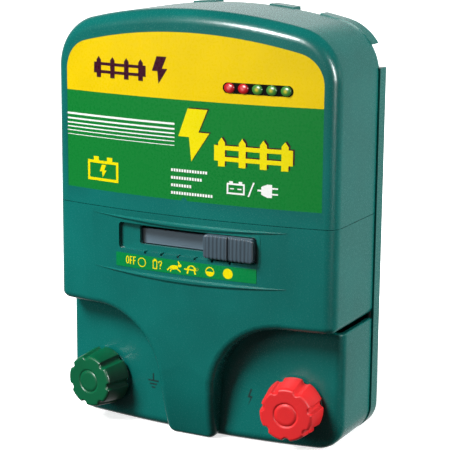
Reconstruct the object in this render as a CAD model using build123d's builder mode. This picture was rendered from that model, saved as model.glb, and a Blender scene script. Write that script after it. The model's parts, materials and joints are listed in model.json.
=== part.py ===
from build123d import *
import os
from math import asin, cos, radians, sin, sqrt

# Electric fence energizer: a bowed, arched plastic case with a selector slider and two
# screw-down terminals.  Millimetres, +Z up, front facing -Y, +X to the right seen from the
# front.  The case is drawn with its feet at FOOT_Z and every piece is lifted by that much when
# it is saved, so the finished unit stands on z = 0 with the origin under its middle.

os.makedirs("parts", exist_ok=True)

# Case
CASE_HALF_WIDTH = 83.0
CASE_TOP_Z = 228.3
ARCH_RADIUS = 270.0
SHOULDER_RADIUS = 28.0
FOOT_RADIUS = 15.0
FOOT_Z = -2.3
FRONT_Y = -33.0
BOW_RADIUS = 438.0
BOW_CENTRE_Y = FRONT_Y + BOW_RADIUS
REAR_SEAM_Y = 25.8
BACK_Y = 35.0
WALL = 2.5
SEAM = 0.3
SIDE_GAP = 0.8
FRONT_EDGE = 7.2
COVER_SEAM_Z = 120.4
BASE_TOP_Z = 62.7
STRIP_PROUD = 1.0
STRIP_TOP_Z = 197.5
STRIP_CORNER = 2.5
FLANGE_THICKNESS = 1.6
SHELL_INSET = 5.0
LIP_PROUD = 0.6
LIP_RUNS = [(-27.0, -13.0), (19.3, 33.5), (49.0, 80.0)]
LIP_FOOT_Z = 209.5
BACK_EDGE = 1.2

# Terminal bays and the tongue between them
BAY_X = 55.6
BAY_Z = 25.7
BAY_RADIUS = 39.4
BAY_DEPTH = 13.4
BAY_RIM_EDGE = 3.9
BAND_CORNER = 4.0
TONGUE_FOOT_HALF_WIDTH = 14.5
TONGUE_FOOT_CORNER = 5.0
TONGUE_BEND_Z = 41.0
TONGUE_BEND_RADIUS = 115.0
BASE_EDGE = 5.5
BASE_TOP_EDGE = 1.0

# Front label, indicator window and lamps
LABEL_HALF_WIDTH = 75.6
LABEL_FOOT_Z = 129.1
LABEL_TOP_Z = 216.6
LABEL_CORNER = 16.6
LABEL_THICKNESS = 0.3
LAMP_X = 25.6
LAMP_PITCH = 7.62
LAMP_Z = 189.8
LAMP_RADIUS = 2.3
WINDOW_HEIGHT = 5.4
WINDOW_WIDTH = 37.8

# Selector
POCKET_LOW = (-40.9, 98.9)
POCKET_HIGH = (41.5, 113.4)
POCKET_FLOOR_Y = -29.0
SLOT_LEFT_X = -29.0
SLOT_RIGHT_X = 41.0
SLOT_LOW_Z = 102.0
SLOT_HIGH_Z = 112.2
RAIL_FACE_Y = -26.0
RAIL_LOW_Z = 102.3
RAIL_HIGH_Z = 110.3
SLIDER_X = 26.6
SLIDER_WIDTH = 29.2
SLIDER_LOW_Z = 100.0
SLIDER_HIGH_Z = 113.0
SLIDER_FACE_Y = -35.0
POSITIONS = 6
POSITION_PITCH = 10.1

# Terminals: everything is built outward from the bay floor along its own normal
TERMINAL_X = 57.7
TERMINAL_Z = 21.4
TERMINAL_TILT = asin(TERMINAL_X / (BOW_RADIUS - BAY_DEPTH))
STUD_RADIUS = 4.0
STUD_IN = 14.0
STUD_OUT = 14.0
PLATE_TOP = 1.6
PLATE_THICKNESS = 1.2
WASHER_BACK = 1.7
WASHER_TOP = 3.1
KNOB_BACK = 3.2
KNOB_SKIRT = 1.8
KNOB_FACE = 17.2
KNOB_BACK_RADIUS = 16.3
KNOB_FACE_RADIUS = 14.2
KNOB_LOBES = 7
GROOVE_RADIUS = 2.3
GROOVE_OUT = 0.8
RUNNING_CLEARANCE = 0.08

# Inside
BOARD_FRONT_Y = 24.0
BOARD_THICKNESS = 1.6
BOARD_HALF_WIDTH = 62.0
BOARD_LOW_Z = 50.0
BOARD_HIGH_Z = 196.0
BOSS_RADIUS = 4.2
UPPER_SCREWS = [(-67.0, 206.0), (67.0, 206.0), (-72.8, 130.0), (72.8, 130.0)]
LOWER_SCREWS = [(-72.8, 111.0), (72.8, 111.0), (-72.8, 76.0), (72.8, 76.0)]
BASE_SCREWS = [(-69.5, 11.0), (69.5, 11.0)]
SCREW_HEAD_Y = 31.5
BOARD_SCREWS = [(-57.0, 56.0), (57.0, 56.0), (-57.0, 190.0), (57.0, 190.0)]
KEYHOLE_X = 35.0
KEYHOLE_Z = 209.0
KEYHOLE_SLOT = 7.0
INLET_X = 0.0
INLET_Y = 6.0


def bow_y(x, setback=0.0):
    """Y of the bowed front, or of a face parallel to it set back inside the case."""
    return BOW_CENTRE_Y - sqrt((BOW_RADIUS - setback) ** 2 - x**2)


def arched_outline(half_width, foot_z, top_z, arch_radius, foot_corner, shoulder):
    """Upright outline with an arched top, drawn on the XZ plane."""
    arch_z = top_z - arch_radius
    corner_z = arch_z + sqrt(arch_radius**2 - half_width**2)
    with BuildSketch(Plane.XZ) as outline:
        with BuildLine():
            Polyline(
                (-half_width, corner_z),
                (-half_width, foot_z),
                (half_width, foot_z),
                (half_width, corner_z),
            )
            ThreePointArc((half_width, corner_z), (0, top_z), (-half_width, corner_z))
        make_face()
        fillet(outline.vertices().sort_by(Axis.Y)[-2:], shoulder)
        if foot_corner > 0:
            fillet(outline.vertices().sort_by(Axis.Y)[:2], foot_corner)
    return outline.sketch


def case_outline(inset=0.0):
    """Outline of the case seen from the front, inset all round."""
    return arched_outline(
        CASE_HALF_WIDTH - inset,
        FOOT_Z + inset,
        CASE_TOP_Z - inset,
        ARCH_RADIUS - inset,
        FOOT_RADIUS - inset,
        SHOULDER_RADIUS - inset,
    )


def bowed_block(inset, setback, edge, low_z=FOOT_Z, high_z=CASE_TOP_Z + 1):
    """Solid of the case outline between two heights, with the bowed front face set back."""
    with BuildPart() as block:
        extrude(case_outline(inset), amount=CASE_HALF_WIDTH, both=True)
        with BuildSketch(Plane.XY.offset(FOOT_Z - 1)):
            with Locations((0, BOW_CENTRE_Y)):
                Circle(BOW_RADIUS - setback)
        extrude(amount=CASE_TOP_Z - FOOT_Z + 2, mode=Mode.INTERSECT)
        split(bisect_by=Plane.XZ.offset(-REAR_SEAM_Y), keep=Keep.TOP)
        fillet(block.faces().sort_by(Axis.Y)[0].edges(), edge)
        if low_z > FOOT_Z:
            split(bisect_by=Plane.XY.offset(low_z), keep=Keep.TOP)
        if high_z < CASE_TOP_Z:
            split(bisect_by=Plane.XY.offset(high_z), keep=Keep.BOTTOM)
    return block.part


def bay_region(side, grow=0.0):
    """Prism through the case in front of one terminal bay, its outline grown by a wall."""
    radius = BAY_RADIUS + grow
    wall_x = BAY_X - radius
    foot_x = TONGUE_FOOT_HALF_WIDTH - grow
    foot_z = FOOT_Z + grow
    far_x = CASE_HALF_WIDTH * 1.2
    corner = radius * sqrt(0.5)
    with BuildPart() as region:
        with BuildSketch(Plane.XZ) as outline:
            with BuildLine():
                Polyline(
                    (side * wall_x, BAY_Z),
                    (side * foot_x, foot_z),
                    (side * foot_x / 2, foot_z),
                    (side * foot_x / 2, FOOT_Z - 1),
                    (side * far_x, FOOT_Z - 1),
                    (side * far_x, BAY_Z + radius + BAND_CORNER),
                    (side * (CASE_HALF_WIDTH - grow), BAY_Z + radius + BAND_CORNER),
                )
                RadiusArc(
                    (side * (CASE_HALF_WIDTH - grow), BAY_Z + radius + BAND_CORNER),
                    (side * (CASE_HALF_WIDTH - grow - BAND_CORNER), BAY_Z + radius),
                    side * BAND_CORNER,
                )
                Line(
                    (side * (CASE_HALF_WIDTH - grow - BAND_CORNER), BAY_Z + radius),
                    (side * BAY_X, BAY_Z + radius),
                )
                ThreePointArc(
                    (side * BAY_X, BAY_Z + radius),
                    (side * (BAY_X - corner), BAY_Z + corner),
                    (side * wall_x, BAY_Z),
                )
            make_face()
            at_foot = Vector(side * foot_x, foot_z)
            foot_vertex = outline.vertices().sort_by(lambda v: (Vector(v.X, v.Y) - at_foot).length)[0]
            fillet(foot_vertex, TONGUE_FOOT_CORNER - grow)
        extrude(amount=CASE_HALF_WIDTH, both=True)
    return region.part


def tongue_lean(setback=0.0):
    """Everything behind the line where the tongue bends back towards its foot."""
    radius = TONGUE_BEND_RADIUS - setback
    start_y = FRONT_Y + setback
    foot_y = start_y + radius - sqrt(radius**2 - (TONGUE_BEND_Z - FOOT_Z + 1) ** 2)
    middle = TONGUE_BEND_Z / 2
    middle_y = start_y + radius - sqrt(radius**2 - middle**2)
    far = CASE_HALF_WIDTH
    with BuildPart() as lean:
        with BuildSketch(Plane.YZ):
            with BuildLine():
                Polyline(
                    (foot_y, FOOT_Z - 1),
                    (far, FOOT_Z - 1),
                    (far, 2 * far),
                    (-far, 2 * far),
                    (-far, TONGUE_BEND_Z),
                    (start_y, TONGUE_BEND_Z),
                )
                ThreePointArc(
                    (start_y, TONGUE_BEND_Z),
                    (middle_y, TONGUE_BEND_Z - middle),
                    (foot_y, FOOT_Z - 1),
                )
            make_face()
        extrude(amount=CASE_HALF_WIDTH * 1.2, both=True)
    return lean.part


def terminal_plane(side):
    """Plane on a bay floor at the terminal axis, facing outward; side is -1 or 1."""
    tilt = side * TERMINAL_TILT
    return Plane(
        origin=(side * TERMINAL_X, bow_y(TERMINAL_X, BAY_DEPTH), TERMINAL_Z),
        x_dir=(cos(tilt), sin(tilt), 0),
        z_dir=(sin(tilt), -cos(tilt), 0),
    )


def save(piece, name):
    """Lift a finished piece onto its feet, label it and write it under its own name."""
    finished = piece.part.moved(Location((0, 0, -FOOT_Z)))
    finished.label = name
    export_step(finished, f"parts/{name}.step")


# ---------------------------------------------------------------- upper cover
LABEL_SETBACK = LABEL_THICKNESS + 0.05
window_plane_x = LAMP_X + 2 * LAMP_PITCH

label_outline = arched_outline(
    LABEL_HALF_WIDTH, LABEL_FOOT_Z, LABEL_TOP_Z, ARCH_RADIUS - 4, 0, LABEL_CORNER
)

with BuildPart() as upper_cover:
    add(bowed_block(0, 0, FRONT_EDGE, low_z=COVER_SEAM_Z + SEAM / 2))
    add(bowed_block(WALL, WALL, FRONT_EDGE - WALL), mode=Mode.SUBTRACT)
    # long bosses that meet the rear cover's screw sleeves
    for screw_x, screw_z in UPPER_SCREWS:
        with BuildSketch(Plane.XZ.offset(-REAR_SEAM_Y)):
            with Locations((screw_x, screw_z)):
                Circle(BOSS_RADIUS)
        extrude(amount=REAR_SEAM_Y - bow_y(screw_x, WALL) + 1)
    # pilot holes
    with BuildSketch(Plane.XZ.offset(-REAR_SEAM_Y)):
        with Locations(*UPPER_SCREWS):
            Circle(1.4)
    extrude(amount=16, mode=Mode.SUBTRACT)
    # pillars for the lamp board
    with BuildSketch(Plane.XZ.offset(19)):
        with Locations((18.5, LAMP_Z + 6), (63.5, LAMP_Z - 5)):
            Circle(3)
    extrude(amount=11)
    # shallow pocket that the label lies in
    with BuildPart(mode=Mode.PRIVATE) as label_pocket:
        extrude(label_outline, amount=CASE_HALF_WIDTH)
        with BuildSketch():
            with Locations((0, BOW_CENTRE_Y)):
                Circle(BOW_RADIUS - LABEL_SETBACK)
        extrude(amount=CASE_TOP_Z, mode=Mode.SUBTRACT)
    add(label_pocket.part, mode=Mode.SUBTRACT)
    # opening for the lamp window
    with BuildSketch(Plane.XZ):
        with Locations((window_plane_x, LAMP_Z)):
            SlotOverall(WINDOW_WIDTH + 0.2, WINDOW_HEIGHT + 0.2)
    extrude(amount=CASE_HALF_WIDTH, mode=Mode.SUBTRACT)
save(upper_cover, "upper_cover")

# ---------------------------------------------------------------- lower cover
pocket_centre = ((POCKET_LOW[0] + POCKET_HIGH[0]) / 2, (POCKET_LOW[1] + POCKET_HIGH[1]) / 2)
pocket_size = (POCKET_HIGH[0] - POCKET_LOW[0], POCKET_HIGH[1] - POCKET_LOW[1])
slot_centre = ((SLOT_LEFT_X + SLOT_RIGHT_X) / 2, (SLOT_LOW_Z + SLOT_HIGH_Z) / 2)
COVER_FLOOR_Z = BASE_TOP_Z + SIDE_GAP


def lower_cover_body(inset, setback, edge, grow):
    """The lower cover as a solid: the band above the bays and the tongue between them."""
    with BuildPart() as body:
        add(bowed_block(inset, setback, edge, high_z=COVER_SEAM_Z - SEAM / 2))
        for bay_side in (-1, 1):
            add(bay_region(bay_side, grow), mode=Mode.SUBTRACT)
        add(tongue_lean(setback), mode=Mode.INTERSECT)
    return body.part


def styling_ridge(middle_z, height, half_length, rise, proud):
    """Long pointed ridge on the bowed front, slightly raised towards its tips."""
    tip_z = middle_z + rise
    with BuildPart() as ridge:
        with BuildSketch(Plane.XZ):
            with BuildLine():
                ThreePointArc(
                    (-half_length, tip_z), (0, middle_z + height / 2), (half_length, tip_z)
                )
                ThreePointArc(
                    (-half_length, tip_z), (0, middle_z - height / 2), (half_length, tip_z)
                )
            make_face()
        extrude(amount=CASE_HALF_WIDTH)
        with BuildSketch():
            with Locations((0, BOW_CENTRE_Y)):
                Circle(BOW_RADIUS + proud)
                Circle(BOW_RADIUS - WALL / 2, mode=Mode.SUBTRACT)
        extrude(amount=CASE_TOP_Z, mode=Mode.INTERSECT)
        rim = ridge.faces().sort_by(Axis.Y)[0].edges()
        chamfer(rim, proud * 0.75, proud * 1.1)
    return ridge.part


def rim_edges(body):
    """Front edges of the terminal bays: where a bay wall meets the front of the cover."""
    chosen = []
    for edge in body.edges():
        middle = edge @ 0.5
        width = abs(middle.X)
        radial = sqrt((width - BAY_X) ** 2 + (middle.Z - BAY_Z) ** 2)
        on_arc = middle.Z > BAY_Z and width < BAY_X + 1 and abs(radial - BAY_RADIUS) < 0.2
        on_top = width >= BAY_X and abs(middle.Z - BAY_Z - BAY_RADIUS) < 0.2
        foot_line = TONGUE_FOOT_HALF_WIDTH - TONGUE_FOOT_CORNER
        on_wall = middle.Z < BAY_Z and foot_line < width < BAY_X - BAY_RADIUS + 0.2
        front = middle.Y < bow_y(width) + 7.9 and middle.Y < bow_y(0, BAY_DEPTH) - 4.0
        if front and (on_arc or on_top or on_wall):
            chosen.append(edge)
    return chosen


with BuildPart() as lower_cover:
    add(lower_cover_body(0, 0, FRONT_EDGE, 0))
    # behind the bay floors and below the band the space belongs to the base
    with BuildSketch(Plane.XY.offset(FOOT_Z - 1)):
        with Locations((0, BOW_CENTRE_Y)):
            Circle(BOW_RADIUS - BAY_DEPTH + SEAM)
    extrude(amount=COVER_FLOOR_Z - FOOT_Z + 1, mode=Mode.SUBTRACT)
    fillet(rim_edges(lower_cover), BAY_RIM_EDGE)
    # hollow inside
    add(lower_cover_body(WALL, WALL, FRONT_EDGE - WALL, WALL), mode=Mode.SUBTRACT)
    add(
        bowed_block(WALL, BAY_DEPTH + WALL, FRONT_EDGE - WALL, low_z=COVER_FLOOR_Z - 1),
        mode=Mode.SUBTRACT,
    )
    for screw_x, screw_z in LOWER_SCREWS:
        with BuildSketch(Plane.XZ.offset(-REAR_SEAM_Y)):
            with Locations((screw_x, screw_z)):
                Circle(BOSS_RADIUS)
        extrude(amount=REAR_SEAM_Y - bow_y(screw_x, WALL) + 1)
    with BuildSketch(Plane.XZ.offset(-REAR_SEAM_Y)):
        with Locations(*LOWER_SCREWS):
            Circle(1.4)
    extrude(amount=16, mode=Mode.SUBTRACT)
    # sunk pocket that the slider runs in, with its slot
    with BuildSketch(Plane.XZ.offset(-POCKET_FLOOR_Y - 2)):
        with Locations(pocket_centre):
            RectangleRounded(pocket_size[0] + 4, pocket_size[1] + 4, 3)
    extrude(amount=4)
    with BuildSketch(Plane.XZ.offset(-POCKET_FLOOR_Y)):
        with Locations(pocket_centre):
            RectangleRounded(*pocket_size, 2)
    extrude(amount=10, mode=Mode.SUBTRACT)
    with BuildSketch(Plane.XZ.offset(-POCKET_FLOOR_Y)):
        with Locations(slot_centre):
            RectangleRounded(SLOT_RIGHT_X - SLOT_LEFT_X, SLOT_HIGH_Z - SLOT_LOW_Z, 1.5)
    extrude(amount=-5, mode=Mode.SUBTRACT)
    # detent notches along the lower edge of the pocket
    with BuildSketch(Plane.XZ.offset(-POCKET_FLOOR_Y)):
        for position in range(POSITIONS):
            with Locations((SLIDER_X - position * POSITION_PITCH, POCKET_LOW[1])):
                RectangleRounded(1.4, 2.4, 0.5)
    extrude(amount=10, mode=Mode.SUBTRACT)
    # pillars for the selector switch
    with BuildSketch(Plane.XZ.offset(14)):
        with Locations((-53, 106), (55, 106)):
            Circle(3.2)
    extrude(amount=14)
    with BuildSketch(Plane.XZ.offset(14)):
        with Locations((-53, 106), (55, 106)):
            Circle(1.2)
    extrude(amount=8, mode=Mode.SUBTRACT)
    add(styling_ridge(115.4, 3.0, 57.8, 1.6, 0.9))
    add(styling_ridge(85.7, 3.2, 57.8, 1.8, 0.9))
save(lower_cover, "lower_cover")

# ---------------------------------------------------------------- base housing
STUD_HOLE_RADIUS = STUD_RADIUS + 0.2
COLLAR_RADIUS = 15.0
COLLAR_HEIGHT = PLATE_TOP - PLATE_THICKNESS
INLET_RADIUS = 8.0

with BuildPart() as base_housing:
    add(bowed_block(0, BAY_DEPTH, BASE_EDGE, high_z=BASE_TOP_Z))
    fillet(base_housing.faces().sort_by(Axis.Z)[-1].edges().sort_by(Axis.Y)[:-1], BASE_TOP_EDGE)
    add(bowed_block(WALL, BAY_DEPTH + WALL, BASE_EDGE - WALL), mode=Mode.SUBTRACT)
    for screw_x, screw_z in BASE_SCREWS:
        with BuildSketch(Plane.XZ.offset(-REAR_SEAM_Y)):
            with Locations((screw_x, screw_z)):
                Circle(BOSS_RADIUS)
        extrude(amount=REAR_SEAM_Y - bow_y(screw_x, BAY_DEPTH + WALL) + 1)
    with BuildSketch(Plane.XZ.offset(-REAR_SEAM_Y)):
        with Locations(*BASE_SCREWS):
            Circle(1.4)
    extrude(amount=16, mode=Mode.SUBTRACT)
    for side in (-1, 1):
        # low round seat for the contact plate, and the stud's hole
        floor = terminal_plane(side)
        with BuildSketch(floor.offset(-WALL)):
            Circle(COLLAR_RADIUS)
        extrude(amount=WALL + COLLAR_HEIGHT)
        seat_face = base_housing.faces().sort_by(Axis((0, 0, 0), floor.z_dir))[-1]
        chamfer(seat_face.edges(), COLLAR_HEIGHT * 0.75)
        with BuildSketch(floor.offset(-WALL - 1)):
            Circle(STUD_HOLE_RADIUS)
        extrude(amount=WALL * 3, mode=Mode.SUBTRACT)
    # recessed power inlet in the underside
    with BuildSketch(Plane.XY.offset(FOOT_Z)):
        with Locations((INLET_X, INLET_Y)):
            Circle(INLET_RADIUS + 0.1)
    extrude(amount=WALL * 2, mode=Mode.SUBTRACT)
save(base_housing, "base_housing")

# ---------------------------------------------------------------- rear cover
rear_front_y = REAR_SEAM_Y + SEAM
rear_depth = BACK_Y - rear_front_y

with BuildPart() as rear_cover:
    # set-in back shell, with a raised strip down both sides up to the shoulders
    with BuildSketch(Plane.XZ.offset(-BACK_Y)):
        add(case_outline(SHELL_INSET))
        with Locations((0, FOOT_Z)):
            Rectangle(
                2 * (CASE_HALF_WIDTH + STRIP_PROUD),
                STRIP_TOP_Z - FOOT_Z,
                align=(Align.CENTER, Align.MIN),
            )
        corners = vertices().group_by(Axis.X)[0] + vertices().group_by(Axis.X)[-1]
        fillet(corners.sort_by(Axis.Y)[:2], FOOT_RADIUS + STRIP_PROUD)
        fillet(corners.sort_by(Axis.Y)[-2:], STRIP_CORNER)
    extrude(amount=rear_depth)
    fillet(rear_cover.faces().sort_by(Axis.Y)[-1].edges(), BACK_EDGE)
    # flange that closes against the covers
    with BuildSketch(Plane.XZ.offset(-rear_front_y - FLANGE_THICKNESS)):
        add(case_outline(SEAM))
    extrude(amount=FLANGE_THICKNESS)
    # short lips along the arched top
    with BuildSketch(Plane.XZ.offset(-BACK_Y)):
        add(case_outline(-LIP_PROUD))
        with BuildSketch(mode=Mode.INTERSECT):
            for lip_start, lip_end in LIP_RUNS:
                with Locations(((lip_start + lip_end) / 2, LIP_FOOT_Z)):
                    Rectangle(lip_end - lip_start, 40, align=(Align.CENTER, Align.MIN))
    extrude(amount=rear_depth)
    # hollow inside, narrower above the strips
    with BuildSketch(Plane.XZ.offset(-BACK_Y + WALL)):
        add(case_outline(WALL))
        with Locations((0, FOOT_Z)):
            Rectangle(
                2 * CASE_HALF_WIDTH,
                STRIP_TOP_Z - FOOT_Z - STRIP_CORNER,
                align=(Align.CENTER, Align.MIN),
                mode=Mode.INTERSECT,
            )
        add(case_outline(SHELL_INSET + WALL))
    extrude(amount=rear_depth, mode=Mode.SUBTRACT)
    # screw sleeves, board standoffs and keyhole pockets
    with BuildSketch(Plane.XZ.offset(-BACK_Y + WALL)):
        with Locations(*(UPPER_SCREWS + LOWER_SCREWS + BASE_SCREWS)):
            Circle(BOSS_RADIUS + 0.6)
    extrude(amount=BACK_Y - WALL - rear_front_y)
    with BuildSketch(Plane.XZ.offset(-BACK_Y + WALL)):
        with Locations(*BOARD_SCREWS):
            Circle(3.4)
    extrude(amount=BACK_Y - WALL - BOARD_FRONT_Y - BOARD_THICKNESS)
    with BuildSketch(Plane.XZ.offset(-BACK_Y + WALL)):
        with Locations((-KEYHOLE_X, KEYHOLE_Z), (KEYHOLE_X, KEYHOLE_Z)):
            RectangleRounded(15, 21, 3)
    extrude(amount=5.5)
    with BuildSketch(Plane.XZ.offset(-BACK_Y)):
        with Locations(*(UPPER_SCREWS + LOWER_SCREWS + BASE_SCREWS)):
            Circle(3.2)
    extrude(amount=BACK_Y - SCREW_HEAD_Y + 2.6, mode=Mode.SUBTRACT)
    with BuildSketch(Plane.XZ.offset(-BACK_Y)):
        with Locations(*(UPPER_SCREWS + LOWER_SCREWS + BASE_SCREWS)):
            Circle(1.8)
    extrude(amount=rear_depth, mode=Mode.SUBTRACT)
    with BuildSketch(Plane.XZ.offset(-BACK_Y + WALL + 4)):
        with Locations(*BOARD_SCREWS):
            Circle(1.2)
    extrude(amount=4, mode=Mode.SUBTRACT)
    with BuildSketch(Plane.XZ.offset(-BACK_Y + WALL)):
        with Locations((-KEYHOLE_X, KEYHOLE_Z - 3), (KEYHOLE_X, KEYHOLE_Z - 3)):
            RectangleRounded(10.6, 10, 2)
        with Locations((-KEYHOLE_X, KEYHOLE_Z + 2), (KEYHOLE_X, KEYHOLE_Z + 2)):
            RectangleRounded(10.6, 12, 2)
    extrude(amount=3.5, mode=Mode.SUBTRACT)
    with BuildSketch(Plane.XZ.offset(-BACK_Y)):
        with Locations((-KEYHOLE_X, KEYHOLE_Z - 3.5), (KEYHOLE_X, KEYHOLE_Z - 3.5)):
            Circle(4.6)
        with Locations((-KEYHOLE_X, KEYHOLE_Z), (KEYHOLE_X, KEYHOLE_Z)):
            SlotCenterToCenter(KEYHOLE_SLOT, 4.6, rotation=90)
    extrude(amount=WALL, mode=Mode.SUBTRACT)
    # groove for the gasket, and the recess for the rating plate
    with BuildSketch(Plane.XZ.offset(-rear_front_y - 0.8)):
        add(case_outline(0.7))
        add(case_outline(1.8), mode=Mode.SUBTRACT)
    extrude(amount=2, mode=Mode.SUBTRACT)
    with BuildSketch(Plane.XZ.offset(-BACK_Y)):
        with Locations((0, 120)):
            RectangleRounded(92.4, 60.4, 2.2)
    extrude(amount=0.4, mode=Mode.SUBTRACT)
save(rear_cover, "rear_cover")

# ---------------------------------------------------------------- gasket and labels
with BuildPart() as case_gasket:
    with BuildSketch(Plane.XZ.offset(-REAR_SEAM_Y)):
        add(case_outline(0.8))
        add(case_outline(1.7), mode=Mode.SUBTRACT)
    extrude(amount=-1.0)
save(case_gasket, "case_gasket")


def skin(outline, low_setback, high_setback):
    """Thin sheet of a given outline lying on the bowed front."""
    with BuildPart() as sheet:
        extrude(outline, amount=CASE_HALF_WIDTH)
        with BuildSketch():
            with Locations((0, BOW_CENTRE_Y)):
                Circle(BOW_RADIUS - high_setback)
                Circle(BOW_RADIUS - low_setback, mode=Mode.SUBTRACT)
        extrude(amount=CASE_TOP_Z, mode=Mode.INTERSECT)
    return sheet.part


with BuildPart() as front_label:
    add(skin(label_outline, LABEL_SETBACK, LABEL_SETBACK - LABEL_THICKNESS))
    with BuildSketch(Plane.XZ):
        with Locations((window_plane_x, LAMP_Z)):
            SlotOverall(WINDOW_WIDTH + 0.2, WINDOW_HEIGHT + 0.2)
    extrude(amount=CASE_HALF_WIDTH, mode=Mode.SUBTRACT)
save(front_label, "front_label")

STRIP_LOW = (-42.6, 89.2)
STRIP_HIGH = (41.6, 96.7)
with BuildSketch(Plane.XZ) as strip_outline:
    with Locations(((STRIP_LOW[0] + STRIP_HIGH[0]) / 2, (STRIP_LOW[1] + STRIP_HIGH[1]) / 2)):
        RectangleRounded(STRIP_HIGH[0] - STRIP_LOW[0], STRIP_HIGH[1] - STRIP_LOW[1], 0.4)
with BuildPart() as control_label:
    add(skin(strip_outline.sketch, 0, -0.15))
save(control_label, "control_label")

# ---------------------------------------------------------------- lamps
lamp_xs = [LAMP_X + LAMP_PITCH * place for place in range(5)]
WINDOW_THICKNESS = 2.0

with BuildSketch(Plane.XZ) as window_outline:
    with Locations((window_plane_x, LAMP_Z)):
        SlotOverall(WINDOW_WIDTH, WINDOW_HEIGHT)
with BuildPart() as lamp_window:
    add(skin(window_outline.sketch, WINDOW_THICKNESS, -0.1))
    with BuildSketch(Plane.XZ):
        for lamp_x in lamp_xs:
            with Locations((lamp_x, LAMP_Z)):
                Circle(LAMP_RADIUS + 0.1)
    extrude(amount=CASE_HALF_WIDTH, mode=Mode.SUBTRACT)
save(lamp_window, "lamp_window")

LAMP_BOARD_Y = -19.0
for name, places in (("red_lamps", lamp_xs[:2]), ("green_lamps", lamp_xs[2:])):
    with BuildPart() as lamps:
        for lamp_x in places:
            tip_y = bow_y(lamp_x) - 0.5
            # domed body, flange and two legs to the board
            with BuildSketch(Plane.XZ.offset(-LAMP_BOARD_Y + 3)):
                with Locations((lamp_x, LAMP_Z)):
                    Circle(LAMP_RADIUS + 0.5)
            extrude(amount=1)
            with BuildSketch(Plane.XZ.offset(-LAMP_BOARD_Y + 4)):
                with Locations((lamp_x, LAMP_Z)):
                    Circle(LAMP_RADIUS)
            extrude(amount=-tip_y + LAMP_BOARD_Y - 4)
            fillet(lamps.faces(Select.LAST).sort_by(Axis.Y)[0].edges(), 1.2)
            with BuildSketch(Plane.XZ.offset(-LAMP_BOARD_Y)):
                with Locations((lamp_x - 1.27, LAMP_Z), (lamp_x + 1.27, LAMP_Z)):
                    Rectangle(0.5, 0.5)
            extrude(amount=3)
    save(lamps, name)

with BuildPart() as lamp_board:
    with BuildSketch(Plane.XZ.offset(-LAMP_BOARD_Y)):
        with Locations((window_plane_x, LAMP_Z)):
            RectangleRounded(54, 20, 1)
        with Locations((18.5, LAMP_Z + 6), (63.5, LAMP_Z - 5)):
            Circle(1.3, mode=Mode.SUBTRACT)
    extrude(amount=-BOARD_THICKNESS)
save(lamp_board, "lamp_board")

# flat cable from the lamp board back to the main board
RIBBON_THICKNESS = 0.9
ribbon_start = LAMP_BOARD_Y + BOARD_THICKNESS
with BuildPart() as lamp_ribbon:
    with BuildSketch(Plane.YZ.offset(34)):
        with BuildLine():
            FilletPolyline(
                (ribbon_start, 186),
                (ribbon_start + 10, 186),
                (ribbon_start + 14, 174),
                (BOARD_FRONT_Y - 10, 174),
                (BOARD_FRONT_Y - 6, 182),
                (BOARD_FRONT_Y, 182),
                radius=3,
            )
            offset(amount=RIBBON_THICKNESS / 2, mode=Mode.REPLACE)
        make_face()
    extrude(amount=12.7)
    # the rounded ends of the strip are trimmed flush with both boards
    split(bisect_by=Plane.XZ.offset(-ribbon_start), keep=Keep.BOTTOM)
    split(bisect_by=Plane.XZ.offset(-BOARD_FRONT_Y), keep=Keep.TOP)
save(lamp_ribbon, "lamp_ribbon")

# ---------------------------------------------------------------- selector
SWITCH_BACK_Y = -12.4
CHEEK_FRONT = 22.6
LEG_WIDTH = 8.0
SWITCH_EARS = [(-53.0, 106.0), (55.0, 106.0)]
with BuildPart() as selector_rail:
    with BuildSketch(Plane.XZ.offset(-RAIL_FACE_Y)):
        with Locations(((SLOT_LEFT_X + SLOT_RIGHT_X) / 2, (RAIL_LOW_Z + RAIL_HIGH_Z) / 2)):
            RectangleRounded(SLOT_RIGHT_X - SLOT_LEFT_X + 14, RAIL_HIGH_Z - RAIL_LOW_Z, 0.6)
    extrude(amount=-1.8)
    # end pads that bear on the back of the pocket floor
    with BuildSketch(Plane.XZ.offset(-RAIL_FACE_Y)):
        with Locations((SLOT_LEFT_X - 4, 106.3), (SLOT_RIGHT_X + 4, 106.3)):
            Rectangle(5, 6)
    extrude(amount=1.0)
save(selector_rail, "selector_rail")

with BuildPart() as selector_switch:
    with BuildSketch(Plane.XZ.offset(-SWITCH_BACK_Y)):
        with Locations((1, 106)):
            RectangleRounded(122, 9, 2)
        with Locations((0, 106)):
            Rectangle(90, 15)
        with Locations(*SWITCH_EARS):
            Circle(1.7, mode=Mode.SUBTRACT)
    extrude(amount=1.6)
    with BuildSketch(Plane.XZ.offset(-SWITCH_BACK_Y + 1.6)):
        with Locations((0, 106)):
            Rectangle(90, 15)
            Rectangle(86, 11.4, mode=Mode.SUBTRACT)
    extrude(amount=6.4)
save(selector_switch, "selector_switch")

with BuildPart() as selector_carriage:
    with BuildSketch(Plane.XZ.offset(-SWITCH_BACK_Y + 2.0)):
        with Locations((SLIDER_X, 106)):
            Rectangle(12, 10.6)
    extrude(amount=7.0)
    # cheek that the slider's leg bears on
    with BuildSketch(Plane.XZ.offset(-SWITCH_BACK_Y + 9.0)):
        with Locations((SLIDER_X, 107)):
            Rectangle(LEG_WIDTH, 4)
    extrude(amount=CHEEK_FRONT + SWITCH_BACK_Y - 9.0)
save(selector_carriage, "selector_carriage")

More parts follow.
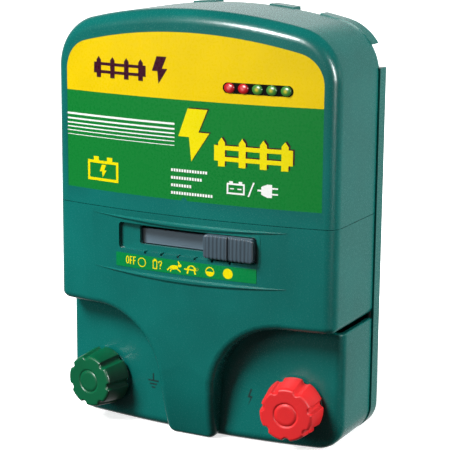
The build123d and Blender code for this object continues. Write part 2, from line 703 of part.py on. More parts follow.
with BuildPart() as selector_slider:
    knob_centre_z = (SLIDER_LOW_Z + SLIDER_HIGH_Z) / 2
    with BuildSketch(Plane.XZ.offset(-POCKET_FLOOR_Y + 0.3)):
        with Locations((SLIDER_X, knob_centre_z)):
            RectangleRounded(SLIDER_WIDTH, SLIDER_HIGH_Z - SLIDER_LOW_Z, 2)
    extrude(amount=-SLIDER_FACE_Y + POCKET_FLOOR_Y - 0.3)
    fillet(selector_slider.faces().sort_by(Axis.Y)[0].edges(), 0.8)
    # finger ribs on both sides of the middle groove
    with BuildSketch(Plane.XZ.offset(-SLIDER_FACE_Y)):
        with Locations((SLIDER_X, knob_centre_z)):
            Rectangle(1.0, 20)
        for side in (-1, 1):
            for rib in range(1, 6):
                with Locations((SLIDER_X + side * rib * 2.3, knob_centre_z)):
                    Rectangle(0.7, 20)
    extrude(amount=-0.8, mode=Mode.SUBTRACT)
    # leg through the slot above the rail, into the carriage
    with BuildSketch(Plane.XZ.offset(CHEEK_FRONT)):
        with Locations((SLIDER_X, (RAIL_HIGH_Z + SLOT_HIGH_Z) / 2)):
            Rectangle(LEG_WIDTH, SLOT_HIGH_Z - RAIL_HIGH_Z - 0.6)
    extrude(amount=-POCKET_FLOOR_Y + 1 - CHEEK_FRONT)
    with BuildSketch(Plane.XZ.offset(CHEEK_FRONT)):
        with Locations((SLIDER_X, SLOT_HIGH_Z - 0.3 - 3.5)):
            Rectangle(LEG_WIDTH, 7.0)
    extrude(amount=1.2)
save(selector_slider, "selector_slider")

with BuildPart() as selector_board:
    with BuildSketch(Plane.XZ.offset(-SWITCH_BACK_Y - 0.1)):
        with Locations((0, 106)):
            RectangleRounded(96, 18, 1)
    extrude(amount=-BOARD_THICKNESS)
save(selector_board, "selector_board")

# ---------------------------------------------------------------- terminals
NUT_RADIUS = 7.4


def terminal_knob(side):
    """Seven-lobed screw-down knob, tapered to its face, hollow under its skirt."""
    axis_plane = terminal_plane(side)
    section = Plane(
        origin=axis_plane.origin, x_dir=axis_plane.x_dir, z_dir=axis_plane.y_dir * -1
    )
    with BuildPart() as knob:
        with BuildSketch(section):
            with BuildLine():
                Polyline(
                    (0, KNOB_SKIRT),
                    (KNOB_BACK_RADIUS, KNOB_SKIRT),
                    (KNOB_FACE_RADIUS, KNOB_FACE - 0.9),
                    (KNOB_FACE_RADIUS - 0.9, KNOB_FACE),
                    (0, KNOB_FACE),
                    close=True,
                )
            make_face()
        revolve(axis=Axis(axis_plane.origin, axis_plane.z_dir))
        # rounded grooves between the lobes
        for lobe in range(KNOB_LOBES):
            turn = radians(lobe * 360 / KNOB_LOBES + NOTCH_PHASE[side])
            foot = KNOB_BACK_RADIUS + GROOVE_OUT
            head = KNOB_FACE_RADIUS + GROOVE_OUT
            start = axis_plane.from_local_coords((foot * cos(turn), foot * sin(turn), KNOB_SKIRT))
            end = axis_plane.from_local_coords((head * cos(turn), head * sin(turn), KNOB_FACE))
            with BuildSketch(Plane(origin=start, z_dir=end - start).offset(-2)):
                Circle(GROOVE_RADIUS)
            extrude(amount=KNOB_FACE + 4, mode=Mode.SUBTRACT)
        # ring on the face
        with BuildSketch(axis_plane.offset(KNOB_FACE)):
            Circle(6.6)
            Circle(5.6, mode=Mode.SUBTRACT)
        extrude(amount=-0.5, mode=Mode.SUBTRACT)
        # hollow for the washer, and the seat of the threaded insert
        with BuildSketch(axis_plane.offset(KNOB_SKIRT)):
            Circle(WASHER_RADIUS + 0.4)
        extrude(amount=KNOB_BACK - KNOB_SKIRT, mode=Mode.SUBTRACT)
        with BuildSketch(axis_plane.offset(KNOB_SKIRT)):
            Circle(INSERT_RADIUS)
        extrude(amount=INSERT_TOP - KNOB_SKIRT, mode=Mode.SUBTRACT)
    return knob


NOTCH_PHASE = {-1: 48.0, 1: 14.2}
WASHER_RADIUS = 11.5
INSERT_RADIUS = 6.0
INSERT_TOP = 15.0
for side, circuit in ((-1, "earth"), (1, "fence")):
    axis_plane = terminal_plane(side)
    save(terminal_knob(side), f"{circuit}_knob")

    with BuildPart() as insert:
        with BuildSketch(axis_plane.offset(KNOB_BACK)):
            Circle(INSERT_RADIUS)
            Circle(STUD_RADIUS + RUNNING_CLEARANCE, mode=Mode.SUBTRACT)
        extrude(amount=INSERT_TOP - KNOB_BACK)
    save(insert, f"{circuit}_insert")

    with BuildPart() as washer:
        with BuildSketch(axis_plane.offset(WASHER_BACK)):
            Circle(WASHER_RADIUS)
            Circle(STUD_RADIUS + RUNNING_CLEARANCE, mode=Mode.SUBTRACT)
        extrude(amount=WASHER_TOP - WASHER_BACK)
        chamfer(washer.edges().filter_by(GeomType.CIRCLE).sort_by(SortBy.RADIUS)[-2:], 0.3)
    save(washer, f"{circuit}_washer")

    with BuildPart() as plate:
        with BuildSketch(axis_plane.offset(PLATE_TOP - PLATE_THICKNESS)):
            Circle(KNOB_BACK_RADIUS - 3)
            Circle(STUD_RADIUS, mode=Mode.SUBTRACT)
        extrude(amount=PLATE_THICKNESS)
    save(plate, f"{circuit}_plate")

    with BuildPart() as stud:
        with BuildSketch(axis_plane.offset(-STUD_IN)):
            Circle(STUD_RADIUS)
        extrude(amount=STUD_IN + STUD_OUT)
        chamfer(stud.edges().filter_by(GeomType.CIRCLE), 0.6)
    save(stud, f"{circuit}_stud")

    with BuildPart() as seal:
        with BuildSketch(axis_plane.offset(-WALL - 1.6)):
            Circle(STUD_RADIUS + 3)
            Circle(STUD_RADIUS, mode=Mode.SUBTRACT)
        extrude(amount=1.5)
        fillet(seal.edges().filter_by(GeomType.CIRCLE).sort_by(SortBy.RADIUS)[-2:], 0.5)
    save(seal, f"{circuit}_seal")

    with BuildPart() as nut:
        with BuildSketch(axis_plane.offset(-WALL - 1.7)):
            RegularPolygon(NUT_RADIUS, 6)
            Circle(STUD_RADIUS, mode=Mode.SUBTRACT)
        extrude(amount=-5.5)
        # ring terminal under a second thin nut
        with BuildSketch(axis_plane.offset(-WALL - 7.2)):
            Circle(STUD_RADIUS + 2.6)
            Circle(STUD_RADIUS, mode=Mode.SUBTRACT)
        extrude(amount=-1.0)
    save(nut, f"{circuit}_nut")

# ---------------------------------------------------------------- power inlet
SOCKET_RADIUS = 5.5
SOCKET_DEPTH = 13.0
INLET_FOOT_Z = FOOT_Z + 0.8
PIN_PITCH = 4.4
inlet = (INLET_X, INLET_Y)
with BuildPart() as power_inlet:
    with BuildSketch(Plane.XY.offset(INLET_FOOT_Z)):
        with Locations(inlet):
            Circle(INLET_RADIUS)
    extrude(amount=22)
    with BuildSketch(Plane.XY.offset(FOOT_Z + WALL)):
        with Locations(inlet):
            Circle(INLET_RADIUS + 2)
    extrude(amount=1.6)
    with BuildSketch(Plane.XY.offset(INLET_FOOT_Z)):
        with Locations(inlet):
            Circle(SOCKET_RADIUS)
    extrude(amount=SOCKET_DEPTH, mode=Mode.SUBTRACT)
    with BuildSketch(Plane.XY.offset(INLET_FOOT_Z)):
        with Locations(inlet):
            with GridLocations(PIN_PITCH, PIN_PITCH, 2, 2):
                Circle(0.9)
    extrude(amount=30, mode=Mode.SUBTRACT)
save(power_inlet, "power_inlet")

with BuildPart() as inlet_pins:
    with BuildSketch(Plane.XY.offset(INLET_FOOT_Z + 5)):
        with Locations(inlet):
            with GridLocations(PIN_PITCH, PIN_PITCH, 2, 2):
                Circle(0.9)
    extrude(amount=20)
    fillet(inlet_pins.faces().group_by(Axis.Z)[0].edges(), 0.5)
save(inlet_pins, "inlet_pins")

with BuildPart() as inlet_nut:
    with BuildSketch(Plane.XY.offset(FOOT_Z + WALL + 1.6)):
        with Locations(inlet):
            RegularPolygon(INLET_RADIUS + 4, 6)
            Circle(INLET_RADIUS, mode=Mode.SUBTRACT)
    extrude(amount=4)
save(inlet_nut, "inlet_nut")

# ---------------------------------------------------------------- main board and what it carries
with BuildPart() as main_board:
    with BuildSketch(Plane.XZ.offset(-BOARD_FRONT_Y)):
        with Locations((0, (BOARD_LOW_Z + BOARD_HIGH_Z) / 2)):
            RectangleRounded(2 * BOARD_HALF_WIDTH, BOARD_HIGH_Z - BOARD_LOW_Z, 2)
        with Locations(*BOARD_SCREWS):
            Circle(1.8, mode=Mode.SUBTRACT)
    extrude(amount=-BOARD_THICKNESS)
save(main_board, "main_board")


def transformer(name, centre_x, centre_z, core_width, stack, centre_y):
    """Laminated E-I core, bobbin and winding, standing on the main board."""
    leg = core_width / 3
    window_w = core_width / 6
    window_h = core_width / 2
    core_h = window_h + leg
    flange = 1.0
    fit = 0.2
    with BuildPart() as core:
        with BuildSketch(Plane.XZ.offset(-centre_y)):
            with Locations((centre_x, centre_z)):
                Rectangle(core_width, core_h)
                with GridLocations(leg + window_w, 0, 2, 1):
                    Rectangle(window_w, window_h, mode=Mode.SUBTRACT)
        extrude(amount=stack / 2, both=True)
    save(core, f"{name}_core")
    tube_w = leg + 2 * fit
    tube_d = stack + 2 * fit
    reach_x = leg + 2 * window_w - 2 * fit
    reach_d = 2 * (BOARD_FRONT_Y - centre_y)
    low_z = centre_z - window_h / 2 + fit
    bobbin_h = window_h - 2 * fit
    with BuildPart() as bobbin:
        for flange_z in (low_z, low_z + bobbin_h - flange):
            with BuildSketch(Plane.XY.offset(flange_z)):
                with Locations((centre_x, centre_y)):
                    Rectangle(reach_x, reach_d)
            extrude(amount=flange)
        with BuildSketch(Plane.XY.offset(low_z)):
            with Locations((centre_x, centre_y)):
                Rectangle(tube_w + 2, tube_d + 2)
        extrude(amount=bobbin_h)
        with BuildSketch(Plane.XY.offset(low_z)):
            with Locations((centre_x, centre_y)):
                Rectangle(tube_w, tube_d)
        extrude(amount=bobbin_h, mode=Mode.SUBTRACT)
    save(bobbin, f"{name}_bobbin")
    with BuildPart() as winding:
        with BuildSketch(Plane.XY.offset(low_z + flange)):
            with Locations((centre_x, centre_y)):
                RectangleRounded(reach_x - 0.6, reach_d - 1.6, 4)
                Rectangle(tube_w + 2, tube_d + 2, mode=Mode.SUBTRACT)
        extrude(amount=bobbin_h - 2 * flange)
    save(winding, f"{name}_winding")


transformer("pulse_transformer", -30, 80, 54, 20, 5.0)
transformer("supply_transformer", 34, 76, 42, 16, 10.0)

for name, low_z in (("storage_capacitor_1", 118), ("storage_capacitor_2", 143)):
    with BuildPart() as capacitor:
        with BuildSketch(Plane.XZ.offset(-BOARD_FRONT_Y)):
            with Locations((-36, low_z + 11)):
                RectangleRounded(40, 22, 2)
        extrude(amount=34)
        fillet(capacitor.faces().sort_by(Axis.Y)[0].edges(), 1.5)
    save(capacitor, name)

with BuildPart() as filter_capacitors:
    with BuildSketch(Plane.XZ.offset(-BOARD_FRONT_Y)):
        with Locations((0, 128), (0, 150)):
            Circle(9)
    extrude(amount=30)
    fillet(filter_capacitors.faces().group_by(Axis.Y)[0].edges(), 1.2)
save(filter_capacitors, "filter_capacitors")

with BuildPart() as heat_sink:
    with BuildSketch(Plane.XY.offset(122)):
        with Locations((34, BOARD_FRONT_Y)):
            Rectangle(3, 24, align=(Align.MIN, Align.MAX))
        for fin in range(5):
            with Locations((37, BOARD_FRONT_Y - 1 - fin * 5.2)):
                Rectangle(17, 1.6, align=(Align.MIN, Align.MAX))
    extrude(amount=38)
save(heat_sink, "heat_sink")

with BuildPart() as thyristor:
    with BuildSketch(Plane.XY.offset(134)):
        with Locations((34, BOARD_FRONT_Y - 6)):
            Rectangle(4.5, 10, align=(Align.MAX, Align.MAX))
    extrude(amount=15)
    with BuildSketch(Plane.XZ.offset(-BOARD_FRONT_Y)):
        with GridLocations(0, 2.54, 1, 3):
            with Locations((31.5, 141.5)):
                Rectangle(0.6, 0.8)
    extrude(amount=7)
save(thyristor, "thyristor")

with BuildPart() as fuse_holder:
    with BuildSketch(Plane.XZ.offset(-BOARD_FRONT_Y)):
        with Locations((-30, 182)):
            Rectangle(26, 9)
    extrude(amount=3)
    for clip_x in (-40, -20):
        with BuildSketch(Plane.XZ.offset(-BOARD_FRONT_Y + 3)):
            with Locations((clip_x, 182)):
                Rectangle(4, 9)
        extrude(amount=6)
    with BuildSketch(Plane.YZ.offset(-44)):
        with Locations((BOARD_FRONT_Y - 6.5, 182)):
            Circle(2.6)
    extrude(amount=28, mode=Mode.SUBTRACT)
save(fuse_holder, "fuse_holder")

with BuildPart() as fuse:
    with BuildSketch(Plane.YZ.offset(-42)):
        with Locations((BOARD_FRONT_Y - 6.5, 182)):
            Circle(2.6)
    extrude(amount=24)
save(fuse, "fuse")

with BuildPart() as varistors:
    with BuildSketch(Plane.YZ.offset(14)):
        with Locations((BOARD_FRONT_Y - 7.2, 168), (BOARD_FRONT_Y - 7.2, 128)):
            Circle(7)
    extrude(amount=4)
    fillet(varistors.edges(), 1)
save(varistors, "varistors")

with BuildPart() as board_connectors:
    with BuildSketch(Plane.XZ.offset(-BOARD_FRONT_Y)):
        with Locations((-44, 53.8), (44, 53.8), (0, 53.8)):
            Rectangle(12, 6)
    extrude(amount=8)
save(board_connectors, "board_connectors")

# ---------------------------------------------------------------- internal leads
LEAD_RADIUS = 1.3


def lead(name, points, radius):
    """Insulated lead along straight runs joined by arcs."""
    with BuildPart() as wire:
        with BuildLine():
            path = FilletPolyline(*points, radius=radius)
        with BuildSketch(Plane(origin=path @ 0, z_dir=path % 0)):
            Circle(LEAD_RADIUS)
        sweep()
    save(wire, name)


for side, circuit in ((-1, "earth"), (1, "fence")):
    ring = terminal_plane(side).from_local_coords((0, 0, -WALL - 8.2))
    lug = Vector(ring.X, ring.Y, ring.Z + STUD_RADIUS + 1.4)
    lead(
        f"{circuit}_lead",
        [
            (lug.X, lug.Y + LEAD_RADIUS, lug.Z),
            (lug.X, lug.Y + LEAD_RADIUS, lug.Z + 8),
            (side * 52, 8, 42),
            (side * 44, BOARD_FRONT_Y - 4, 50.8 - 6),
            (side * 44, BOARD_FRONT_Y - 4, 50.8),
        ],
        3.0,
    )
with BuildPart() as supply_leads:
    for offset_x in (-2.2, 2.2):
        with BuildLine():
            path = FilletPolyline(
                (INLET_X + offset_x, INLET_Y, INLET_FOOT_Z + 25),
                (INLET_X + offset_x, INLET_Y, INLET_FOOT_Z + 34),
                (INLET_X + offset_x, BOARD_FRONT_Y - 4, 44),
                (INLET_X + offset_x, BOARD_FRONT_Y - 4, 50.8),
                radius=3.5,
            )
        with BuildSketch(Plane(origin=path @ 0, z_dir=path % 0)):
            Circle(LEAD_RADIUS)
        sweep(path=path)
save(supply_leads, "supply_leads")

# ---------------------------------------------------------------- fasteners and the rating plate
with BuildPart() as housing_screws:
    for screw in UPPER_SCREWS + LOWER_SCREWS + BASE_SCREWS:
        with BuildSketch(Plane.XZ.offset(-SCREW_HEAD_Y + 2.6)):
            with Locations(screw):
                Circle(3.0)
        extrude(amount=-2.4)
        with BuildSketch(Plane.XZ.offset(-SCREW_HEAD_Y + 2.6)):
            with Locations(screw):
                Circle(1.4)
        extrude(amount=16)
        with BuildSketch(Plane.XZ.offset(-SCREW_HEAD_Y + 0.2)):
            with Locations(screw):
                Rectangle(3.2, 0.8)
                Rectangle(0.8, 3.2)
        extrude(amount=1.0, mode=Mode.SUBTRACT)
save(housing_screws, "housing_screws")

with BuildPart() as board_screws:
    for screw in BOARD_SCREWS:
        with BuildSketch(Plane.XZ.offset(-BOARD_FRONT_Y)):
            with Locations(screw):
                Circle(2.8)
        extrude(amount=1.8)
        with BuildSketch(Plane.XZ.offset(-BOARD_FRONT_Y)):
            with Locations(screw):
                Circle(1.2)
        extrude(amount=-4.5)
save(board_screws, "board_screws")

with BuildPart() as selector_screws:
    for ear in SWITCH_EARS:
        with BuildSketch(Plane.XZ.offset(-SWITCH_BACK_Y)):
            with Locations(ear):
                Circle(2.8)
        extrude(amount=-1.8)
        with BuildSketch(Plane.XZ.offset(-SWITCH_BACK_Y)):
            with Locations(ear):
                Circle(1.2)
        extrude(amount=8)
save(selector_screws, "selector_screws")

with BuildPart() as rating_plate:
    with BuildSketch(Plane.XZ.offset(-BACK_Y)):
        with Locations((0, 120)):
            RectangleRounded(92, 60, 2)
    extrude(amount=0.35)
save(rating_plate, "rating_plate")
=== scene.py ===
import bpy
import bmesh
import json
import math
from mathutils import Matrix, Quaternion, Vector


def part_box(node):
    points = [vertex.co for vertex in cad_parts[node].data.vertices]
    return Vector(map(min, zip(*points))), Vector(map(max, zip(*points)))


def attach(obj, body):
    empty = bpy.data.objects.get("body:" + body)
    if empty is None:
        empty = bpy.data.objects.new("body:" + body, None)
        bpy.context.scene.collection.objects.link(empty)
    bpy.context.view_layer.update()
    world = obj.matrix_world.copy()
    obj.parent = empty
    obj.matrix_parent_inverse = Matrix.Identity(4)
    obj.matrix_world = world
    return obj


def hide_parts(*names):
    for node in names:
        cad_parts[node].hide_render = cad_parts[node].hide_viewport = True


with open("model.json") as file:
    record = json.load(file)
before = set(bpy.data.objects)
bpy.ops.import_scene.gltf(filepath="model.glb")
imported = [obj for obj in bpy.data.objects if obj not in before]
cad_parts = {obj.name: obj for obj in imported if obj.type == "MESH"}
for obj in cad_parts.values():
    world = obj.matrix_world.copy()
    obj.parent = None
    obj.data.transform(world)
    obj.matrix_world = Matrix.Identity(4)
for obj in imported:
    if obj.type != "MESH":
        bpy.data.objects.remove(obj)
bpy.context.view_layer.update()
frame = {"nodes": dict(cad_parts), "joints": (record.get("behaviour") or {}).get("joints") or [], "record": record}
# lengths are in metres, apart from the outlines of the prints, which are in millimetres
MM = 0.001

# ------------------------------------------------------------------ camera, floor and light
CAMERA_AT = Vector((0.3990, -0.7569, 0.2985))
CAMERA_TO = Vector((0.0506, -0.0841, 0.1336))
CAMERA_LENS = 129.43
CAMERA_ROLL = math.radians(0.467)
SENSOR_WIDTH = 36
NEAR_CLIP = 0.01
FLOOR_REACH = 6.0
FLOOR_WHITE = (0.93, 0.93, 0.93, 1)
FLOOR_ROUGHNESS = 0.9
FLOOR_GLOSS = 0.1
FLOOR_GLOW = 0.7


def make_camera():
    """The camera at the viewing angle of the picture."""
    data = bpy.data.cameras.new("camera")
    data.lens = CAMERA_LENS
    data.sensor_width = SENSOR_WIDTH
    data.clip_start = NEAR_CLIP
    camera = bpy.data.objects.new("camera", data)
    bpy.context.scene.collection.objects.link(camera)
    turn = (CAMERA_TO - CAMERA_AT).to_track_quat("-Z", "Y")
    camera.rotation_mode = "QUATERNION"
    camera.rotation_quaternion = turn @ Quaternion((0, 0, 1), CAMERA_ROLL)
    camera.location = CAMERA_AT
    bpy.context.scene.camera = camera


def area_light(name, place, aim, size, watts):
    """A soft rectangular lamp that shines from one point towards another."""
    data = bpy.data.lights.new(name, "AREA")
    data.shape = "RECTANGLE"
    data.size, data.size_y = size
    data.energy = watts
    light = bpy.data.objects.new(name, data)
    bpy.context.scene.collection.objects.link(light)
    light.location = place
    light.rotation_mode = "QUATERNION"
    light.rotation_quaternion = (Vector(aim) - Vector(place)).to_track_quat("-Z", "Y")
    return light


def make_floor():
    """A wide pale floor, left out of the light and the reflections on the case."""
    mesh = bpy.data.meshes.new("floor")
    bm = bmesh.new()
    corners = [(-1, -1), (1, -1), (1, 1), (-1, 1)]
    bm.faces.new([bm.verts.new((x * FLOOR_REACH, y * FLOOR_REACH, 0)) for x, y in corners])
    bm.to_mesh(mesh)
    bm.free()
    floor = bpy.data.objects.new("floor", mesh)
    bpy.context.scene.collection.objects.link(floor)
    material = bpy.data.materials.new("floor_white")
    material.use_nodes = True
    shader = material.node_tree.nodes["Principled BSDF"]
    shader.inputs["Base Color"].default_value = FLOOR_WHITE
    shader.inputs["Roughness"].default_value = FLOOR_ROUGHNESS
    shader.inputs["Specular IOR Level"].default_value = FLOOR_GLOSS
    shader.inputs["Emission Color"].default_value = (1, 1, 1, 1)
    shader.inputs["Emission Strength"].default_value = FLOOR_GLOW
    mesh.materials.append(material)
    floor.visible_glossy = False
    floor.visible_diffuse = False


def world_step(tree, value, start, end, low, high):
    """A smooth change of a world value from low to high between two places."""
    step = tree.nodes.new("ShaderNodeMapRange")
    step.interpolation_type = "SMOOTHSTEP"
    for socket, number in (("From Min", start), ("From Max", end), ("To Min", low), ("To Max", high)):
        step.inputs[socket].default_value = number
    tree.links.new(value, step.inputs["Value"])
    return step.outputs["Result"]


def world_math(tree, operation, first, second):
    """One sum on two world values; a float is set on the node itself."""
    node = tree.nodes.new("ShaderNodeMath")
    node.operation = operation
    for socket, value in zip(node.inputs, (first, second)):
        if isinstance(value, float):
            socket.default_value = value
        else:
            tree.links.new(value, socket)
    return node.outputs[0]


def make_world():
    """A studio with a bright low backdrop behind the case, dim in front and overhead.

    Seen by the camera itself it is plain white."""
    world = bpy.data.worlds.new("studio")
    world.use_nodes = True
    tree = world.node_tree
    sky = tree.nodes["Background"]
    where = tree.nodes.new("ShaderNodeTexCoord")
    split = tree.nodes.new("ShaderNodeSeparateXYZ")
    tree.links.new(where.outputs["Generated"], split.inputs[0])
    behind = world_step(tree, split.outputs["Y"], start=0.15, end=0.7, low=0.0, high=BACKDROP)
    low = world_step(tree, split.outputs["Z"], start=0.2, end=0.6, low=1.0, high=0.0)
    across = world_step(tree, split.outputs["X"], start=-0.45, end=0.35, low=1.0, high=BACKDROP_RIGHT)
    backdrop = world_math(tree, "MULTIPLY", world_math(tree, "MULTIPLY", behind, low), across)
    studio = world_math(tree, "ADD", backdrop, ROOM)
    rays = tree.nodes.new("ShaderNodeLightPath")
    strength = world_math(tree, "MAXIMUM", studio, rays.outputs["Is Camera Ray"])
    tree.links.new(strength, sky.inputs["Strength"])
    sky.inputs["Color"].default_value = (1, 1, 1, 1)
    bpy.context.scene.world = world


def make_sun(name, towards, strength, spread):
    """Even light from far away, left out of reflections."""
    data = bpy.data.lights.new(name, "SUN")
    data.energy = strength
    data.angle = math.radians(spread)
    light = bpy.data.objects.new(name, data)
    bpy.context.scene.collection.objects.link(light)
    light.rotation_mode = "QUATERNION"
    light.rotation_quaternion = Vector(towards).to_track_quat("-Z", "Y")
    light.visible_glossy = False


MIDDLE = (0, 0, 0.12)
TOP_RIM = (0, 0, 0.21)
BACKDROP = 1.0
BACKDROP_RIGHT = 0.34
ROOM = 0.06
bpy.context.scene.view_settings.view_transform = "Standard"
make_camera()
make_floor()
make_world()
make_sun("sun", towards=(0.38, 0.60, -0.75), strength=4.7, spread=22)
# two boxes seen only in the gloss, and two fills that are left out of it
front_box = area_light("front_box", place=(-0.20, -1.40, 0.80), aim=TOP_RIM, size=(0.40, 0.34), watts=42)
right_strip = area_light("right_strip", place=(1.20, -0.63, 0.42), aim=MIDDLE, size=(0.14, 0.50), watts=18)
side_fill = area_light("side_fill", place=(1.20, 0.50, 0.40), aim=MIDDLE, size=(0.6, 0.6), watts=20)
front_fill = area_light("fill", place=(-1.0, -1.3, 0.5), aim=MIDDLE, size=(0.6, 0.6), watts=10)
for glossy_only in (front_box, right_strip):
    glossy_only.visible_diffuse = False
for soft_only in (side_fill, front_fill):
    soft_only.visible_glossy = False


# ------------------------------------------------------------------ materials
def new_material(name, colour, roughness, **sockets):
    """A Principled material; sockets are other uniform values set on the shader itself."""
    material = bpy.data.materials.new(name)
    material.use_nodes = True
    shader = material.node_tree.nodes["Principled BSDF"]
    shader.inputs["Base Color"].default_value = (*colour, 1)
    shader.inputs["Roughness"].default_value = roughness
    for socket, value in sockets.items():
        shader.inputs[socket.replace("_", " ")].default_value = value
    return material


def add_node(material, kind, **values):
    """A node of one kind with some of its inputs set."""
    node = material.node_tree.nodes.new("ShaderNode" + kind)
    for key, value in values.items():
        node.inputs[key.replace("_", " ")].default_value = value
    return node


def link(material, source, target):
    """Joins two sockets of one material."""
    material.node_tree.links.new(source, target)


def shader_of(material):
    """The Principled shader of a material."""
    return material.node_tree.nodes["Principled BSDF"]


def object_space(material, stretch=(1, 1, 1)):
    """Coordinates fixed to the object, in metres, stretched to follow a grain."""
    where = add_node(material, "TexCoord")
    scale = add_node(material, "Mapping", Scale=stretch)
    link(material, where.outputs["Object"], scale.inputs["Vector"])
    return scale.outputs["Vector"]


def noise(material, space, scale, detail=3.0):
    """Height of a cloud pattern; scale is in clouds per metre."""
    node = add_node(material, "TexNoise", Scale=scale, Detail=detail)
    link(material, space, node.inputs["Vector"])
    return node.outputs["Fac"]


def ramp(material, source, stops):
    """Colour ramp through (place, colour) stops."""
    node = add_node(material, "ValToRGB")
    elements = node.color_ramp.elements
    while len(elements) < len(stops):
        elements.new(0.5)
    for element, (place, colour) in zip(elements, stops):
        element.position = place
        element.color = (*colour, 1)
    link(material, source, node.inputs["Fac"])
    return node


def tint(colour, factor):
    """A darker or lighter shade of a colour."""
    return tuple(min(1.0, channel * factor) for channel in colour)


def mix_colour(material, factor, first, second):
    """Blend of two colours or colour outputs by a factor output."""
    node = material.node_tree.nodes.new("ShaderNodeMix")
    node.data_type = "RGBA"
    link(material, factor, node.inputs["Factor"])
    for socket, value in (("A", first), ("B", second)):
        target = [i for i in node.inputs if i.name == socket and i.type == "RGBA"][0]
        if isinstance(value, tuple):
            target.default_value = (*value, 1)
        else:
            link(material, value, target)
    return [o for o in node.outputs if o.type == "RGBA"][0]


def roughness_range(material, source, low, high):
    """Roughness that follows a pattern between two values."""
    node = add_node(material, "MapRange", To_Min=low, To_Max=high)
    link(material, source, node.inputs["Value"])
    link(material, node.outputs["Result"], shader_of(material).inputs["Roughness"])


def bump(material, height, distance):
    """Relief that follows a pattern, distance deep in metres."""
    node = add_node(material, "Bump", Distance=distance)
    link(material, height, node.inputs["Height"])
    link(material, node.outputs["Normal"], shader_of(material).inputs["Normal"])


DRIFT_SCALE = 28
WORN_EDGE = (0.52, 0.6)
WORN_SHADE = 1.9


def moulded(name, colour, roughness, grain=1800, depth=0.00002, wear=0.0, spread=0.12, **sockets):
    """Moulded plastic: fine spark-eroded grain, slow colour drift and paler worn edges."""
    material = new_material(name, colour, roughness, **sockets)
    space = object_space(material)
    drift = noise(material, space, DRIFT_SCALE, detail=4)
    body = ramp(material, drift, [(0.3, tint(colour, 1 - spread)), (0.7, tint(colour, 1 + spread))])
    shade = body.outputs["Color"]
    if wear > 0:
        form = add_node(material, "NewGeometry")
        edge = add_node(material, "MapRange", From_Min=WORN_EDGE[0], From_Max=WORN_EDGE[1], To_Max=wear)
        link(material, form.outputs["Pointiness"], edge.inputs["Value"])
        shade = mix_colour(material, edge.outputs["Result"], shade, tint(colour, WORN_SHADE))
    link(material, shade, shader_of(material).inputs["Base Color"])
    fine = noise(material, space, grain, detail=2)
    roughness_range(material, fine, roughness - 0.06, roughness + 0.08)
    bump(material, fine, depth)
    return material


CLOUD_SCALE = 90


def metal(name, colour, roughness, stretch=(1, 1, 1), scale=600, depth=0.000008, cloud=0.2):
    """Metal with a brushed or rolled grain along one direction and cloudy plating."""
    material = new_material(name, colour, roughness, Metallic=1.0)
    grain = noise(material, object_space(material, stretch), scale, detail=5)
    clouds = noise(material, object_space(material), CLOUD_SCALE, detail=4)
    plated = ramp(material, clouds, [(0.3, tint(colour, 1 - cloud)), (0.7, tint(colour, 1 + cloud / 2))])
    link(material, plated.outputs["Color"], shader_of(material).inputs["Base Color"])
    roughness_range(material, grain, roughness - 0.1, roughness + 0.15)
    bump(material, grain, depth)
    return material


FADE_SCALE = 35
PEEL_SCALE = 700


def printed(name, colour, roughness=0.27, orange_peel=0.000008):
    """Printed film: even ink with a faint orange peel and slight fading."""
    material = new_material(name, colour, roughness, Specular_IOR_Level=0.3)
    space = object_space(material)
    drift = noise(material, space, FADE_SCALE)
    fade = ramp(material, drift, [(0.3, tint(colour, 0.95)), (0.7, tint(colour, 1.04))])
    link(material, fade.outputs["Color"], shader_of(material).inputs["Base Color"])
    peel = noise(material, space, PEEL_SCALE, detail=2)
    roughness_range(material, peel, roughness - 0.05, roughness + 0.07)
    bump(material, peel, orange_peel)
    return material


def banded(name, colour, roughness, direction, scale, contrast=0.55, metallic=0.0, depth=0.00015):
    """Wound wire, stacked sheets or ribbed sleeve: fine bands across one direction."""
    material = new_material(name, colour, roughness, Metallic=metallic)
    bands = add_node(material, "TexWave", Scale=scale, Distortion=0.4, Detail=1.0)
    bands.bands_direction = direction
    link(material, object_space(material), bands.inputs["Vector"])
    shades = ramp(material, bands.outputs["Fac"], [(0.1, tint(colour, contrast)), (0.6, colour)])
    link(material, shades.outputs["Color"], shader_of(material).inputs["Base Color"])
    roughness_range(material, bands.outputs["Fac"], roughness, roughness + 0.15)
    bump(material, bands.outputs["Fac"], depth)
    return material


TRACK_SCALE = 160.0
TRACK_DEPTH = 0.00004


def circuit_board(name):
    """Green solder mask over a cell pattern of tracks."""
    mask = (0.012, 0.11, 0.045)
    material = new_material(name, mask, 0.35, Coat_Weight=0.4)
    tracks = add_node(material, "TexVoronoi", Scale=TRACK_SCALE)
    tracks.distance = "CHEBYCHEV"
    tracks.feature = "F2"
    link(material, object_space(material), tracks.inputs["Vector"])
    copper = ramp(material, tracks.outputs["Distance"], [(0.45, mask), (0.6, tint(mask, 2.2))])
    link(material, copper.outputs["Color"], shader_of(material).inputs["Base Color"])
    roughness_range(material, tracks.outputs["Distance"], 0.28, 0.45)
    bump(material, tracks.outputs["Distance"], TRACK_DEPTH)
    return material


YELLOW = (0.77, 0.54, 0.0)
LABEL_GREEN = (0.004, 0.188, 0.028)
LABEL_SPLIT_Z = 0.1842
SPLIT_HALF = 0.00005
TEAL = (0.002, 0.124, 0.107)


